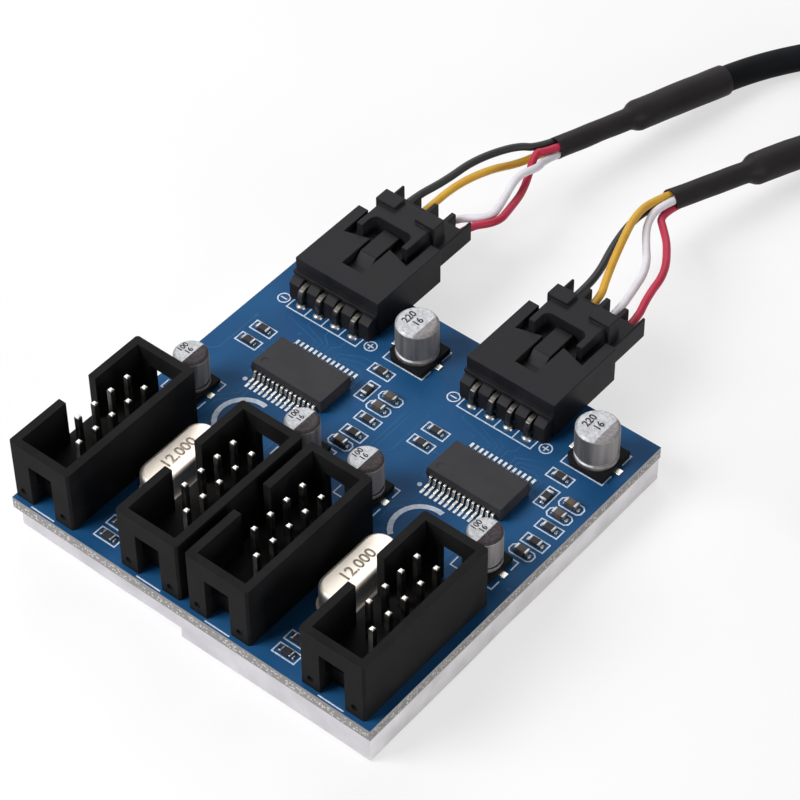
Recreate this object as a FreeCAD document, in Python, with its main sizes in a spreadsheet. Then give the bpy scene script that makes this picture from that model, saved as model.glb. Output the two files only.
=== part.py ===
import FreeCAD, Part
import math
import os
import re

import Sketcher
from FreeCAD import Placement, Rotation, Vector

# Internal USB header splitter: two hub circuits on one board, each fed by a latched
# four-wire plug, with four shrouded nine-pin headers along the front edge.
# Millimetres, +Z up. The origin is the centre of the board's outline on the floor,
# +Y runs from the shrouded headers to the edge where the cables leave.

SIZES = {
    # board and the foam tape under it
    "board_width": 49.8,
    "board_depth": 49.5,
    "board_thick": 1.6,
    "foam_thick": 3.4,
    "foam_split": -0.9,
    "foam_seam": 0.2,
    "foam_inset": 0.8,
    "tail_room": 1.6,
    "tail_margin": 0.9,
    # shrouded nine-pin headers
    "pitch": 2.54,
    "pin_side": 0.64,
    "pin_fit": 0.02,
    "pin_hole": 1.0,
    "pin_rise": 8.1,
    "pin_tail": 1.0,
    "pin_point": 0.2,
    "shroud_width": 8.5,
    "shroud_length": 20.0,
    "shroud_height": 8.5,
    "shroud_wall": 1.0,
    "shroud_floor": 2.3,
    "shroud_edge": 0.25,
    "key_width": 4.5,
    "port_width": 3.3,
    "port_height": 6.1,
    "port_depth": 2.0,
    "dimple_dia": 0.9,
    "dimple_depth": 0.3,
    "dimple_offset": 2.9,
    "dimple_rise": 1.3,
    "shroud_inset": 10.55,
    "shroud_y": "=shroud_inset - board_depth / 2",
    "shroud_1_x": -20.6,
    "shroud_2_x": -5.35,
    "shroud_3_x": 4.25,
    "shroud_4_x": 19.55,
    # hub chips, gull-wing package
    "chip_length": 10.2,
    "chip_width": 5.3,
    "chip_height": 1.75,
    "chip_standoff": 0.1,
    "chip_draft": 10.0,
    "chip_inset": 16.95,
    "chip_y": "=board_depth / 2 - chip_inset",
    "chip_left_x": -12.0,
    "chip_right_x": 12.95,
    "dot_dia": 0.9,
    "dot_depth": 0.08,
    "dot_inset": 1.15,
    "lead_pitch": 0.65,
    "lead_width": 0.3,
    "lead_thick": 0.2,
    "lead_foot": 0.75,
    "lead_reach": 1.25,
    # crystals
    "crystal_length": 10.6,
    "crystal_width": 4.0,
    "crystal_height": 3.5,
    "crystal_round": 0.5,
    "flange_brim": 0.3,
    "flange_thick": 0.45,
    "crystal_pitch": 4.88,
    "crystal_lead": 0.45,
    "crystal_hole": 0.8,
    "crystal_inset": 13.75,
    "crystal_y": "=crystal_inset - board_depth / 2",
    "crystal_left_x": -13.0,
    "crystal_right_x": 11.95,
    # electrolytic capacitors
    "can_height": 5.4,
    "small_can": 4.0,
    "large_can": 5.0,
    "small_base": 4.3,
    "large_base": 5.3,
    "base_thick": 0.75,
    "base_corner": 1.0,
    "can_round": 0.3,
    "bead_rise": 1.25,
    "bead_width": 0.5,
    "bead_depth": 0.22,
    "strap_width": 0.8,
    "strap_thick": 0.15,
    "strap_reach": 0.75,
    "small_can_y": -0.3,
    "large_can_inset": 5.85,
    "large_can_y": "=board_depth / 2 - large_can_inset",
    # chip resistors and capacitors
    "chip_part_length": 1.6,
    "chip_part_width": 0.85,
    "resistor_height": 0.5,
    "capacitor_height": 0.8,
    "chip_end": 0.32,
    "half_step": 24.95,
    # right-angle wire headers
    "socket_width": 12.1,
    "socket_depth": 11.2,
    "socket_height": 5.0,
    "socket_side": 0.9,
    "socket_roof": 1.1,
    "socket_floor": 0.85,
    "socket_front": 2.2,
    "slot_width": 2.86,
    "slot_start": 2.7,
    "mouth_width": 9.2,
    "mouth_start": 7.7,
    "mouth_flare": 0.9,
    "rib_width": 1.5,
    "rib_reach": 1.5,
    "rib_height": 2.9,
    "ledge_reach": 0.5,
    "ledge_thick": 0.5,
    "wire_rise": 2.3,
    "bend_reach": 1.75,
    "bend_round": 0.9,
    "prong_reach": 8.0,
    "socket_inset": 6.25,
    "socket_y": "=board_depth / 2 - socket_inset",
    "socket_left_x": -15.8,
    "socket_right_x": 8.9,
    # latched wire plugs
    "plug_width": 10.2,
    "plug_thick": 2.8,
    "plug_fit": 0.1,
    "plug_gap": 0.4,
    "plug_back": 18.0,
    "tunnel_side": 1.9,
    "tunnel_start": 1.9,
    "entry_side": 0.9,
    "notch_length": 1.6,
    "bridge_width": 7.4,
    "bridge_rise": 2.25,
    "bridge_gap": 0.3,
    "bridge_back": 14.1,
    "window_width": 5.7,
    "window_length": 2.2,
    "window_round": 0.8,
    "finger_width": 2.3,
    "finger_rise": 1.2,
    "finger_thick": 0.75,
    "finger_ramp": 1.3,
    "finger_start": 4.3,
    "finger_end": 9.9,
    "tab_inner": 1.45,
    "tab_outer": 4.3,
    "tab_rise": 2.75,
    "tab_start": 12.1,
    # crimp terminals
    "box_side": 1.7,
    "box_bore": 0.7,
    "box_start": 4.7,
    "box_length": 6.3,
    "barrel_dia": 1.6,
    "barrel_length": 3.0,
    # wires, sleeves and cables
    "wire_dia": 0.95,
    "wire_start": 11.3,
    "bundle_step": 1.0,
    "bundle_lead": 2.0,
    "bundle_depth": 5.0,
    "sleeve_thin": 2.7,
    "sleeve_thick": 3.9,
    "sleeve_thin_length": 11.5,
    "sleeve_taper": 1.6,
    "sleeve_bore": 2.4,
    "cable_dia": 3.35,
    "cable_lead": 4.0,
    # coil of the cable's spare length
    "coil_x": 34.6,
    "coil_y": 90.8,
    "coil_left_radius": 20.7,
    "coil_right_radius": 17.3,
    "coil_layer": 3.7,
    # plug at the far end, two rows of five
    "far_width": 13.2,
    "far_thick": 5.6,
    "far_length": 14.0,
    "far_face": 2.0,
    "far_x": 54.1,
    "far_y": 26.0,
    "far_window": 1.3,
    "far_window_length": 2.6,
    "far_window_start": 5.0,
    "far_sleeve_length": 12.0,
    "far_bundle": 1.25,
}

DEGREES = math.pi / 180.0
FULL_TURN = 360.0
PINS_IN_ROW = 5
WIRES = 4
WIRE_COLOURS = ("black", "yellow", "white", "red")
LEADS_PER_SIDE = 14
SECTION_SIDES = 8

doc = FreeCAD.newDocument("header_splitter")
sheet = doc.addObject("Spreadsheet::Sheet", "Sizes")
for line, (alias, size) in enumerate(SIZES.items(), start=1):
    sheet.set("A%d" % line, alias)
    sheet.set("B%d" % line, str(size))
    sheet.setAlias("B%d" % line, alias)
scratch_sheet = doc.addObject("Spreadsheet::Sheet", "Working")
doc.recompute()

at = {alias: float(sheet.get(alias)) for alias in SIZES}
nodes = []


def linked(expression):
    """The expression with each size's name pointing at the sheet."""
    return re.sub(r"\b([a-z][a-z_0-9]+)\b", r"Sizes.\1", expression)


def worked_out(expression):
    """The expression's value now, from the sheet's own arithmetic."""
    scratch_sheet.set("A1", "=" + linked(expression))
    scratch_sheet.recompute()
    return float(scratch_sheet.get("A1"))


def bind(item, prop, expression):
    item.setExpression(prop, linked(expression))


def place(item, x, y, z):
    for axis, expression in zip("xyz", (x, y, z)):
        bind(item, "Placement.Base." + axis, expression)


# Part design helpers

def new_body(label, x="0", y="0", z="0"):
    body = doc.addObject("PartDesign::Body", label)
    body.Label = label
    place(body, x, y, z)
    nodes.append(body)
    return body


def origin_feature(body, role):
    return next(item for item in body.Origin.OriginFeatures if item.Role == role)


def new_sketch(body, role, x="0", y="0", lift="0"):
    sketch = body.newObject("Sketcher::SketchObject", body.Name + "_sketch")
    sketch.AttachmentSupport = [(origin_feature(body, role), "")]
    sketch.MapMode = "FlatFace"
    for axis, expression in zip("xyz", (x, y, lift)):
        bind(sketch, "AttachmentOffset.Base." + axis, expression)
    return sketch


def size_constraint(sketch, kind, first, second, expression):
    index = sketch.addConstraint(Sketcher.Constraint(kind, *first, *second, worked_out(expression)))
    bind(sketch, "Constraints[%d]" % index, expression)


def polygon(sketch, corners):
    """A closed outline whose corners are pairs of expressions."""
    points = [Vector(worked_out(x), worked_out(y), 0) for x, y in corners]
    lines = [
        sketch.addGeometry(Part.LineSegment(point, points[(number + 1) % len(points)]), False)
        for number, point in enumerate(points)
    ]
    for number, line in enumerate(lines):
        following = lines[(number + 1) % len(lines)]
        sketch.addConstraint(Sketcher.Constraint("Coincident", line, 2, following, 1))
    for line, (x, y) in zip(lines, corners):
        size_constraint(sketch, "DistanceX", (-1, 1), (line, 1), x)
        size_constraint(sketch, "DistanceY", (-1, 1), (line, 1), y)
    return sketch


def rectangle(sketch, width, height):
    """A rectangle centred on the sketch's origin."""
    half_width, half_height = "(%s) / 2" % width, "(%s) / 2" % height
    left, bottom = "-" + half_width, "-" + half_height
    corners = ((left, bottom), (half_width, bottom), (half_width, half_height), (left, half_height))
    return polygon(sketch, corners)


def circle(sketch, diameter):
    radius = "(%s) / 2" % diameter
    ring = sketch.addGeometry(Part.Circle(Vector(0, 0, 0), Vector(0, 0, 1), worked_out(radius)), False)
    sketch.addConstraint(Sketcher.Constraint("Coincident", ring, 3, -1, 1))
    index = sketch.addConstraint(Sketcher.Constraint("Radius", ring, worked_out(radius)))
    bind(sketch, "Constraints[%d]" % index, radius)
    return sketch


def octagon(sketch, across):
    """A regular eight-sided outline, for holes and rods that stay hidden."""
    half, short = "(%s) / 2" % across, "(%s) / 2 * %.6f" % (across, math.tan(math.pi / 8))
    return polygon(sketch, (
        (half, "-" + short), (half, short), (short, half), ("-" + short, half),
        ("-" + half, short), ("-" + half, "-" + short), ("-" + short, "-" + half), (short, "-" + half),
    ))


def stadium(sketch, length, width):
    """A slot shape along the sketch's second axis, centred on its origin."""
    radius = worked_out("(%s) / 2" % width)
    middle = worked_out("((%s) - (%s)) / 2" % (length, width))
    up = Vector(0, 0, 1)
    left_line = Part.LineSegment(Vector(-radius, -middle, 0), Vector(-radius, middle, 0))
    right_line = Part.LineSegment(Vector(radius, middle, 0), Vector(radius, -middle, 0))
    upper_ring = Part.Circle(Vector(0, middle, 0), up, radius)
    lower_ring = Part.Circle(Vector(0, -middle, 0), up, radius)
    left = sketch.addGeometry(left_line, False)
    top = sketch.addGeometry(Part.ArcOfCircle(upper_ring, 0, math.pi), False)
    right = sketch.addGeometry(right_line, False)
    low = sketch.addGeometry(Part.ArcOfCircle(lower_ring, math.pi, 2 * math.pi), False)
    for joint in ((left, 2, top, 2), (top, 1, right, 1), (right, 2, low, 2), (low, 1, left, 1)):
        sketch.addConstraint(Sketcher.Constraint("Tangent", *joint))
    sketch.addConstraint(Sketcher.Constraint("Vertical", left))
    sketch.addConstraint(Sketcher.Constraint("Symmetric", top, 3, low, 3, -1, 1))
    index = sketch.addConstraint(Sketcher.Constraint("Radius", top, radius))
    bind(sketch, "Constraints[%d]" % index, "(%s) / 2" % width)
    size_constraint(sketch, "DistanceY", (low, 3), (top, 3), "(%s) - (%s)" % (length, width))
    return sketch


def add(body, sketch, length, middle=False, backwards=False, taper=None):
    """Pad the sketch, and make sure that it adds material."""
    before = body.Shape.Volume if body.Tip else 0.0
    pad = body.newObject("PartDesign::Pad", body.Name + "_pad")
    pad.Profile = sketch
    pad.Reversed = backwards
    pad.Midplane = middle
    bind(pad, "Length", length)
    if taper:
        bind(pad, "TaperAngle", taper)
    doc.recompute()
    if body.Shape.Volume <= before:
        raise RuntimeError("a pad added nothing to " + body.Label)
    return pad


def cut(body, sketch, length, middle=False, backwards=False):
    """Pocket the sketch, and make sure that it takes material away."""
    before = body.Shape.Volume
    pocket = body.newObject("PartDesign::Pocket", body.Name + "_pocket")
    pocket.Profile = sketch
    pocket.Reversed = backwards
    pocket.Midplane = middle
    bind(pocket, "Length", length)
    doc.recompute()
    if body.Shape.Volume >= before:
        raise RuntimeError("a pocket cut nothing from " + body.Label)
    return pocket


def row(body, feature, role, length, count, backwards=False):
    """Repeat a feature along one of the body's axes."""
    pattern = body.newObject("PartDesign::LinearPattern", body.Name + "_row")
    pattern.Originals = [feature]
    pattern.Direction = (origin_feature(body, role), [""])
    pattern.Reversed = backwards
    pattern.Occurrences = count
    bind(pattern, "Length", length)
    body.Tip = pattern
    doc.recompute()
    return pattern


def soften(body, kind, size, wanted):
    """Fillet or chamfer the edges whose midpoints and directions pass the test."""
    prop = "Radius" if kind == "Fillet" else "Size"
    base, names = body.Tip, []
    for number, edge in enumerate(body.Shape.Edges, start=1):
        middle = edge.valueAt((edge.FirstParameter + edge.LastParameter) / 2)
        if wanted(middle - body.Placement.Base, edge):
            names.append("Edge%d" % number)
    feature = body.newObject("PartDesign::" + kind, body.Name + "_" + kind.lower())
    feature.Base = (base, names)
    bind(feature, prop, size)
    body.Tip = feature
    doc.recompute()
    return feature


def same(one, other):
    return abs(one - other) < 1e-4


def upright(edge):
    ends = edge.Vertexes
    return len(ends) == 2 and same(ends[0].X, ends[1].X) and same(ends[0].Y, ends[1].Y)


# Helpers for groups of small solids and for cords

def group(label, solids):
    item = doc.addObject("Part::Feature", label)
    item.Label = label
    item.Shape = solids[0] if len(solids) == 1 else Part.makeCompound(solids)
    nodes.append(item)
    return item


def block(low, high):
    return Part.makeBox(high[0] - low[0], high[1] - low[1], high[2] - low[2], Vector(*low))


def prism(points, along):
    """A closed flat outline pushed along a vector."""
    outline = Part.makePolygon([Vector(*point) for point in points + points[:1]])
    return Part.Face(outline).extrude(Vector(*along))


def rod(radius, length, foot, heading):
    """A slim eight-sided rod: a round one this thin only adds facets."""
    ring = Part.makePolygon(ring_points(radius, foot, heading))
    return Part.Face(ring).extrude(heading * length)


def ring_points(radius, centre, heading):
    """Corners of the eight-sided section of a rod or cord, closed."""
    turn = Rotation(Vector(0, 0, 1), heading)
    steps = [2 * math.pi * step / SECTION_SIDES for step in range(SECTION_SIDES)]
    corners = [centre + turn.multVec(Vector(radius * math.cos(a), radius * math.sin(a), 0)) for a in steps]
    return corners + corners[:1]


def cord_path(label, route, diameter):
    """Straight runs with the largest tangent arcs that they leave room for."""
    points = [Vector(*point) for point in route]
    edges, radii, start = [], [], points[0]
    for before, corner, after in zip(points, points[1:], points[2:]):
        arriving, leaving = corner - before, after - corner
        turn = arriving.getAngle(leaving)
        reach = 0.45 * min(arriving.Length, leaving.Length)
        radii.append(reach / math.tan(turn / 2))
        into = Vector(arriving).normalize()
        out = Vector(leaving).normalize()
        arc_start, arc_end = corner - into * reach, corner + out * reach
        inward = (out - into).normalize()
        arc_middle = corner + inward * (radii[-1] / math.cos(turn / 2) - radii[-1])
        edges.append(Part.LineSegment(start, arc_start).toShape())
        edges.append(Part.Arc(arc_start, arc_middle, arc_end).toShape())
        start = arc_end
    edges.append(Part.LineSegment(start, points[-1]).toShape())
    path = Part.Wire(edges)
    tightest = min(radii) / diameter if radii else 0.0
    print("%s: length %.1f, tightest bend %.1f diameters" % (label, path.Length, tightest))
    return path


def cord_solid(label, route, diameter):
    path = cord_path(label, route, diameter)
    heading = Vector(*route[1]) - Vector(*route[0])
    ring = Part.makePolygon(ring_points(diameter / 2, Vector(*route[0]), heading))
    tube = path.makePipeShell([ring], True, False)
    expected = Part.Face(ring).Area * path.Length
    if not tube.isValid() or abs(tube.Volume - expected) > 0.02 * expected:
        raise RuntimeError("the tube of %s came out wrong" % label)
    return tube


BOARD_TOP = "foam_thick + board_thick"
board_top = worked_out(BOARD_TOP)
HALVES = ("left", "right")
SHROUD_X = ["shroud_%d_x" % number for number in range(1, 5)]
ROW_SPAN = "%d * pitch" % (PINS_IN_ROW - 1)
WIRE_SPAN = "%d * pitch" % (WIRES - 1)
wire_offsets = [(number - (WIRES - 1) / 2) * at["pitch"] for number in range(WIRES)]
PIN_ROW_Y = "socket_y - bend_reach"


# Board

def drill_row(body, outline, x, y, diameter, role, span, count):
    hole = cut(body, outline(new_sketch(body, "XY_Plane", x, y, "board_thick"), diameter), "board_thick")
    row(body, hole, role, span, count)


def board():
    body = new_body("pcb", z="foam_thick")
    add(body, rectangle(new_sketch(body, "XY_Plane"), "board_width", "board_depth"), "board_thick")
    for x in SHROUD_X:
        for side in ("-", "+"):
            drill_row(body, octagon, "%s %s pitch / 2" % (x, side), "shroud_y - (%s) / 2" % ROW_SPAN,
                      "pin_hole", "Y_Axis", ROW_SPAN, PINS_IN_ROW)
    for half in HALVES:
        drill_row(body, circle, "socket_%s_x - (%s) / 2" % (half, WIRE_SPAN), PIN_ROW_Y,
                  "pin_hole", "X_Axis", WIRE_SPAN, WIRES)
        drill_row(body, octagon, "crystal_%s_x" % half, "crystal_y - crystal_pitch / 2",
                  "crystal_hole", "Y_Axis", "crystal_pitch", 2)


# Two strips of foam tape, recessed over the pin tails

def foam_pad(half, left, right, front, shrouds):
    body = new_body("foam_pad_" + half)
    back = "board_depth / 2"
    outline = ((left, front), (right, front), (right, back), (left, back))
    add(body, polygon(new_sketch(body, "XY_Plane"), outline), "foam_thick")
    tail_rooms = [(x, "shroud_y", "pitch", ROW_SPAN) for x in shrouds]
    tail_rooms.append(("socket_%s_x" % half, PIN_ROW_Y, WIRE_SPAN, "0"))
    tail_rooms.append(("crystal_%s_x" % half, "crystal_y", "0", "crystal_pitch"))
    for x, y, width, depth in tail_rooms:
        recess = new_sketch(body, "XY_Plane", x, y, "foam_thick")
        rectangle(recess, width + " + 2 * tail_margin", depth + " + 2 * tail_margin")
        cut(body, recess, "tail_room")


# Shrouded header: an open box with a key slot in one long wall and a port low in each end

def shroud(number):
    body = new_body("box_header_%d" % number, "shroud_%d_x" % number, "shroud_y", BOARD_TOP)
    add(body, rectangle(new_sketch(body, "XY_Plane"), "shroud_width", "shroud_length"), "shroud_height")
    cavity = new_sketch(body, "XY_Plane", lift="shroud_height")
    rectangle(cavity, "shroud_width - 2 * shroud_wall", "shroud_length - 2 * shroud_wall")
    cut(body, cavity, "shroud_height - shroud_floor")
    key = new_sketch(body, "XY_Plane", "(shroud_wall - shroud_width) / 2", "0", "shroud_height")
    cut(body, rectangle(key, "shroud_wall", "key_width"), "shroud_height - shroud_floor")
    for end in ("-", ""):
        port = new_sketch(body, "XY_Plane", "0", end + "(shroud_length - port_depth) / 2", "port_height")
        cut(body, rectangle(port, "port_width", "port_depth"), "port_height")
    square = "pin_side + 2 * pin_fit"
    full = new_sketch(body, "XY_Plane", "pitch / 2", "-(%s) / 2" % ROW_SPAN, "shroud_floor")
    row(body, cut(body, rectangle(full, square, square), "shroud_floor"), "Y_Axis", ROW_SPAN, PINS_IN_ROW)
    keyed = new_sketch(body, "XY_Plane", "-pitch / 2", "(%s) / 2" % ROW_SPAN, "shroud_floor")
    row(body, cut(body, rectangle(keyed, square, square), "shroud_floor"),
        "Y_Axis", ROW_SPAN + " - pitch", PINS_IN_ROW - 1, backwards=True)
    for side in ("-", ""):
        front = new_sketch(body, "XZ_Plane", side + "dimple_offset", "dimple_rise", "shroud_length / 2")
        cut(body, circle(front, "dimple_dia"), "dimple_depth")
    half_width, half_length = at["shroud_width"] / 2, at["shroud_length"] / 2
    soften(body, "Chamfer", "shroud_edge", lambda middle, edge: upright(edge)
           and same(abs(middle.x), half_width) and same(abs(middle.y), half_length))


def header_pins(number):
    half, top = at["pin_side"] / 2, board_top + at["pin_rise"]
    bottom = at["foam_thick"] - at["pin_tail"]
    pins = []
    for column in (-1, 1):
        for step in range(PINS_IN_ROW):
            if column == -1 and step == 0:
                continue
            x = at["shroud_%d_x" % number] + column * at["pitch"] / 2
            y = at["shroud_y"] + (step - (PINS_IN_ROW - 1) / 2) * at["pitch"]
            pin = block((x - half, y - half, bottom), (x + half, y + half, top))
            point = [edge for edge in pin.Edges if same(edge.CenterOfMass.z, top)]
            pins.append(pin.makeChamfer(at["pin_point"], point))
    group("header_pins_%d" % number, pins)


# Hub chip: drafted moulding with a pin-one dot, and two rows of gull-wing leads

def hub_chip(half):
    middle = "chip_standoff + chip_height / 2"
    body = new_body("hub_chip_" + half, "chip_%s_x" % half, "chip_y", BOARD_TOP + " + " + middle)
    for backwards in (False, True):
        outline = rectangle(new_sketch(body, "XY_Plane"), "chip_length", "chip_width")
        add(body, outline, "chip_height / 2", backwards=backwards, taper="-chip_draft")
    dot = new_sketch(body, "XY_Plane", "dot_inset - chip_length / 2", "dot_inset - chip_width / 2",
                     "chip_height / 2")
    cut(body, circle(dot, "dot_dia"), "dot_depth")


def chip_leads(half):
    x0, y0 = at["chip_%s_x" % half], at["chip_y"]
    thick, shoulder = at["lead_thick"], at["chip_standoff"] + at["chip_height"] / 2
    root = at["chip_width"] / 2
    tip = root + at["lead_reach"]
    heel = tip - at["lead_foot"]
    knee = (root + heel) / 2
    profile = [
        (root, shoulder - thick / 2), (root, shoulder + thick / 2), (knee + thick / 2, shoulder + thick / 2),
        (heel + thick / 2, thick), (tip, thick), (tip, 0.0), (heel - thick / 2, 0.0),
        (knee - thick / 2, shoulder - thick / 2),
    ]
    leads = []
    for side in (-1, 1):
        for number in range(LEADS_PER_SIDE):
            x = x0 + (number - (LEADS_PER_SIDE - 1) / 2) * at["lead_pitch"] - at["lead_width"] / 2
            outline = [(x, y0 + side * y, board_top + z) for y, z in profile]
            leads.append(prism(outline, (at["lead_width"], 0, 0)))
    group("hub_chip_leads_" + half, leads)


# Crystal in a round-ended can with a welded brim

def crystal(half):
    body = new_body("crystal_can_" + half, "crystal_%s_x" % half, "crystal_y", BOARD_TOP)
    brim = new_sketch(body, "XY_Plane")
    stadium(brim, "crystal_length + 2 * flange_brim", "crystal_width + 2 * flange_brim")
    add(body, brim, "flange_thick")
    can = new_sketch(body, "XY_Plane", lift="flange_thick")
    add(body, stadium(can, "crystal_length", "crystal_width"), "crystal_height - flange_thick")
    top = board_top + at["crystal_height"]
    soften(body, "Fillet", "crystal_round", lambda middle, edge: same(middle.z + board_top, top)
           and all(same(end.Z, top) for end in edge.Vertexes))


def crystal_leads():
    leads = []
    for half in HALVES:
        for side in (-1, 1):
            foot = Vector(at["crystal_%s_x" % half], at["crystal_y"] + side * at["crystal_pitch"] / 2,
                          at["foam_thick"] - at["pin_tail"])
            leads.append(rod(at["crystal_lead"] / 2, board_top - foot.z, foot, Vector(0, 0, 1)))
    group("crystal_leads", leads)


# Electrolytic capacitors: beaded can, square base with two cut corners, flat terminals

CAPACITORS = (
    ("small", -20.8), ("small", -4.75), ("small", 4.15), ("small", 20.2), ("large", -4.45), ("large", 20.45),
)


def capacitor_can(number, kind, x):
    body = new_body("capacitor_can_%d" % number, "%s" % x, kind + "_can_y", BOARD_TOP)
    radius = kind + "_can / 2"
    waist = radius + " - bead_depth"
    low, high = "bead_rise", "bead_rise + bead_width"
    outline = (
        ("0", "base_thick"), (radius, "base_thick"), (radius, low),
        (waist, low + " + bead_width / 4"), (waist, high + " - bead_width / 4"), (radius, high),
        (radius, "can_height - can_round"), (radius + " - can_round", "can_height"), ("0", "can_height"),
    )
    turned = body.newObject("PartDesign::Revolution", body.Name + "_turned")
    turned.Profile = polygon(new_sketch(body, "XZ_Plane"), outline)
    turned.ReferenceAxis = (turned.Profile[0], ["V_Axis"])
    turned.Angle = FULL_TURN
    doc.recompute()


def capacitor_base(number, kind, x):
    body = new_body("capacitor_base_%d" % number, "%s" % x, kind + "_can_y", BOARD_TOP)
    half = kind + "_base / 2"
    short = half + " - base_corner"
    outline = (
        ("-(%s)" % short, "-" + half), (half, "-" + half), (half, half), ("-(%s)" % short, half),
        ("-" + half, short), ("-" + half, "-(%s)" % short),
    )
    lift = "strap_thick"
    add(body, polygon(new_sketch(body, "XY_Plane", lift=lift), outline), "base_thick - strap_thick")


def capacitor_leads():
    straps = []
    for kind, x in CAPACITORS:
        y, half = at[kind + "_can_y"], at[kind + "_base"] / 2
        for side in (-1, 1):
            inner, outer = sorted((x + side * half / 3, x + side * (half + at["strap_reach"])))
            straps.append(block((inner, y - at["strap_width"] / 2, board_top),
                                (outer, y + at["strap_width"] / 2, board_top + at["strap_thick"])))
    group("capacitor_leads", straps)


# Chip parts of one half, as (kind, x, y, turned a quarter)

CHIP_PARTS = (
    ("resistor", -20.5, 11.15, False), ("resistor", -20.6, 8.75, False), ("resistor", -5.9, 14.35, False),
    ("resistor", -5.3, 11.15, True), ("capacitor", -2.45, 11.8, False), ("capacitor", -2.6, 9.85, False),
    ("resistor", -2.4, 7.8, False), ("resistor", -2.35, 5.3, False), ("capacitor", -2.6, 3.35, False),
    ("resistor", -13.1, -20.4, False), ("resistor", -13.0, -22.4, False),
)


def chip_parts():
    bodies = {"resistor": [], "capacitor": []}
    ends = []
    half_length, half_width = at["chip_part_length"] / 2, at["chip_part_width"] / 2
    for step in (0.0, at["half_step"]):
        for kind, x, y, turned in CHIP_PARTS:
            height = at[kind + "_height"]
            inner = half_length - at["chip_end"]
            solids = [
                block((-inner, -half_width, 0), (inner, half_width, height)),
                block((-half_length, -half_width, 0), (-inner, half_width, height)),
                block((inner, -half_width, 0), (half_length, half_width, height)),
            ]
            turn = Rotation(Vector(0, 0, 1), 90.0 if turned else 0.0)
            seat = Placement(Vector(x + step, y, board_top), turn)
            for solid in solids:
                solid.Placement = seat
            bodies[kind].append(solids[0])
            ends.extend(solids[1:])
    group("chip_resistors", bodies["resistor"])
    group("chip_capacitors", bodies["capacitor"])
    group("chip_ends", ends)


# Right-angle wire header: a shell open at the back, its roof slotted for the plug's latch

def wire_header(half):
    body = new_body("wire_header_" + half, "socket_%s_x" % half, "socket_y", BOARD_TOP)
    outline = new_sketch(body, "XY_Plane", "0", "socket_depth / 2")
    add(body, rectangle(outline, "socket_width", "socket_depth"), "socket_height")
    opening_height = "socket_height - socket_roof - socket_floor"
    cavity = new_sketch(body, "XZ_Plane", "0", "socket_floor + (%s) / 2" % opening_height, "-socket_depth")
    rectangle(cavity, "socket_width - 2 * socket_side", opening_height)
    cut(body, cavity, "socket_depth - socket_front", backwards=True)
    slot, mouth = "slot_width / 2", "mouth_width / 2"
    flare = "mouth_start - mouth_flare"
    roof = (
        ("-" + slot, "slot_start"), (slot, "slot_start"), (slot, "mouth_start"), (mouth, flare),
        (mouth, "socket_depth"), ("-" + mouth, "socket_depth"),
        ("-" + mouth, flare), ("-" + slot, "mouth_start"),
    )
    cut(body, polygon(new_sketch(body, "XY_Plane", lift="socket_height"), roof), "socket_roof")
    rib = (
        ("0", "0"), ("0", "rib_height"), ("-rib_reach / 2", "rib_height"),
        ("-rib_reach", "rib_height * 0.8"), ("-rib_reach", "0"),
    )
    first_rib = new_sketch(body, "YZ_Plane", lift="-(%s) / 2" % ROW_SPAN)
    row(body, add(body, polygon(first_rib, rib), "rib_width", middle=True), "X_Axis", ROW_SPAN, PINS_IN_ROW)
    ledge = new_sketch(body, "XY_Plane", "0", "-ledge_reach / 2", "rib_height")
    add(body, rectangle(ledge, "socket_width", "ledge_reach"), "ledge_thick")
    square = "pin_side + 2 * pin_fit"
    pierced = new_sketch(body, "XZ_Plane", "-(%s) / 2" % WIRE_SPAN, "wire_rise", "0")
    row(body, cut(body, rectangle(pierced, square, square), "socket_front"), "X_Axis", WIRE_SPAN, WIRES)


def wire_header_pins(half):
    reach, rise = at["bend_reach"], at["wire_rise"]
    side, bend = at["pin_side"] / 2, at["bend_round"]
    low = at["foam_thick"] - at["pin_tail"] - board_top
    bevel = bend * (1 - math.sqrt(0.5))
    profile = [
        (at["prong_reach"], rise - side), (at["prong_reach"], rise + side),
        (bend - reach - side, rise + side), (bevel - reach - side, rise + side - bevel),
        (-reach - side, rise + side - bend), (-reach - side, low),
        (-reach + side, low), (-reach + side, rise - side),
    ]
    pins = []
    for offset in wire_offsets:
        x = at["socket_%s_x" % half] + offset - side
        outline = [(x, at["socket_y"] + y, board_top + z) for y, z in profile]
        pins.append(prism(outline, (2 * side, 0, 0)))
    group("wire_header_pins_" + half, pins)


# Latched plug: four tunnels, a raised bridge over the latch finger, two grips at the back

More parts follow.
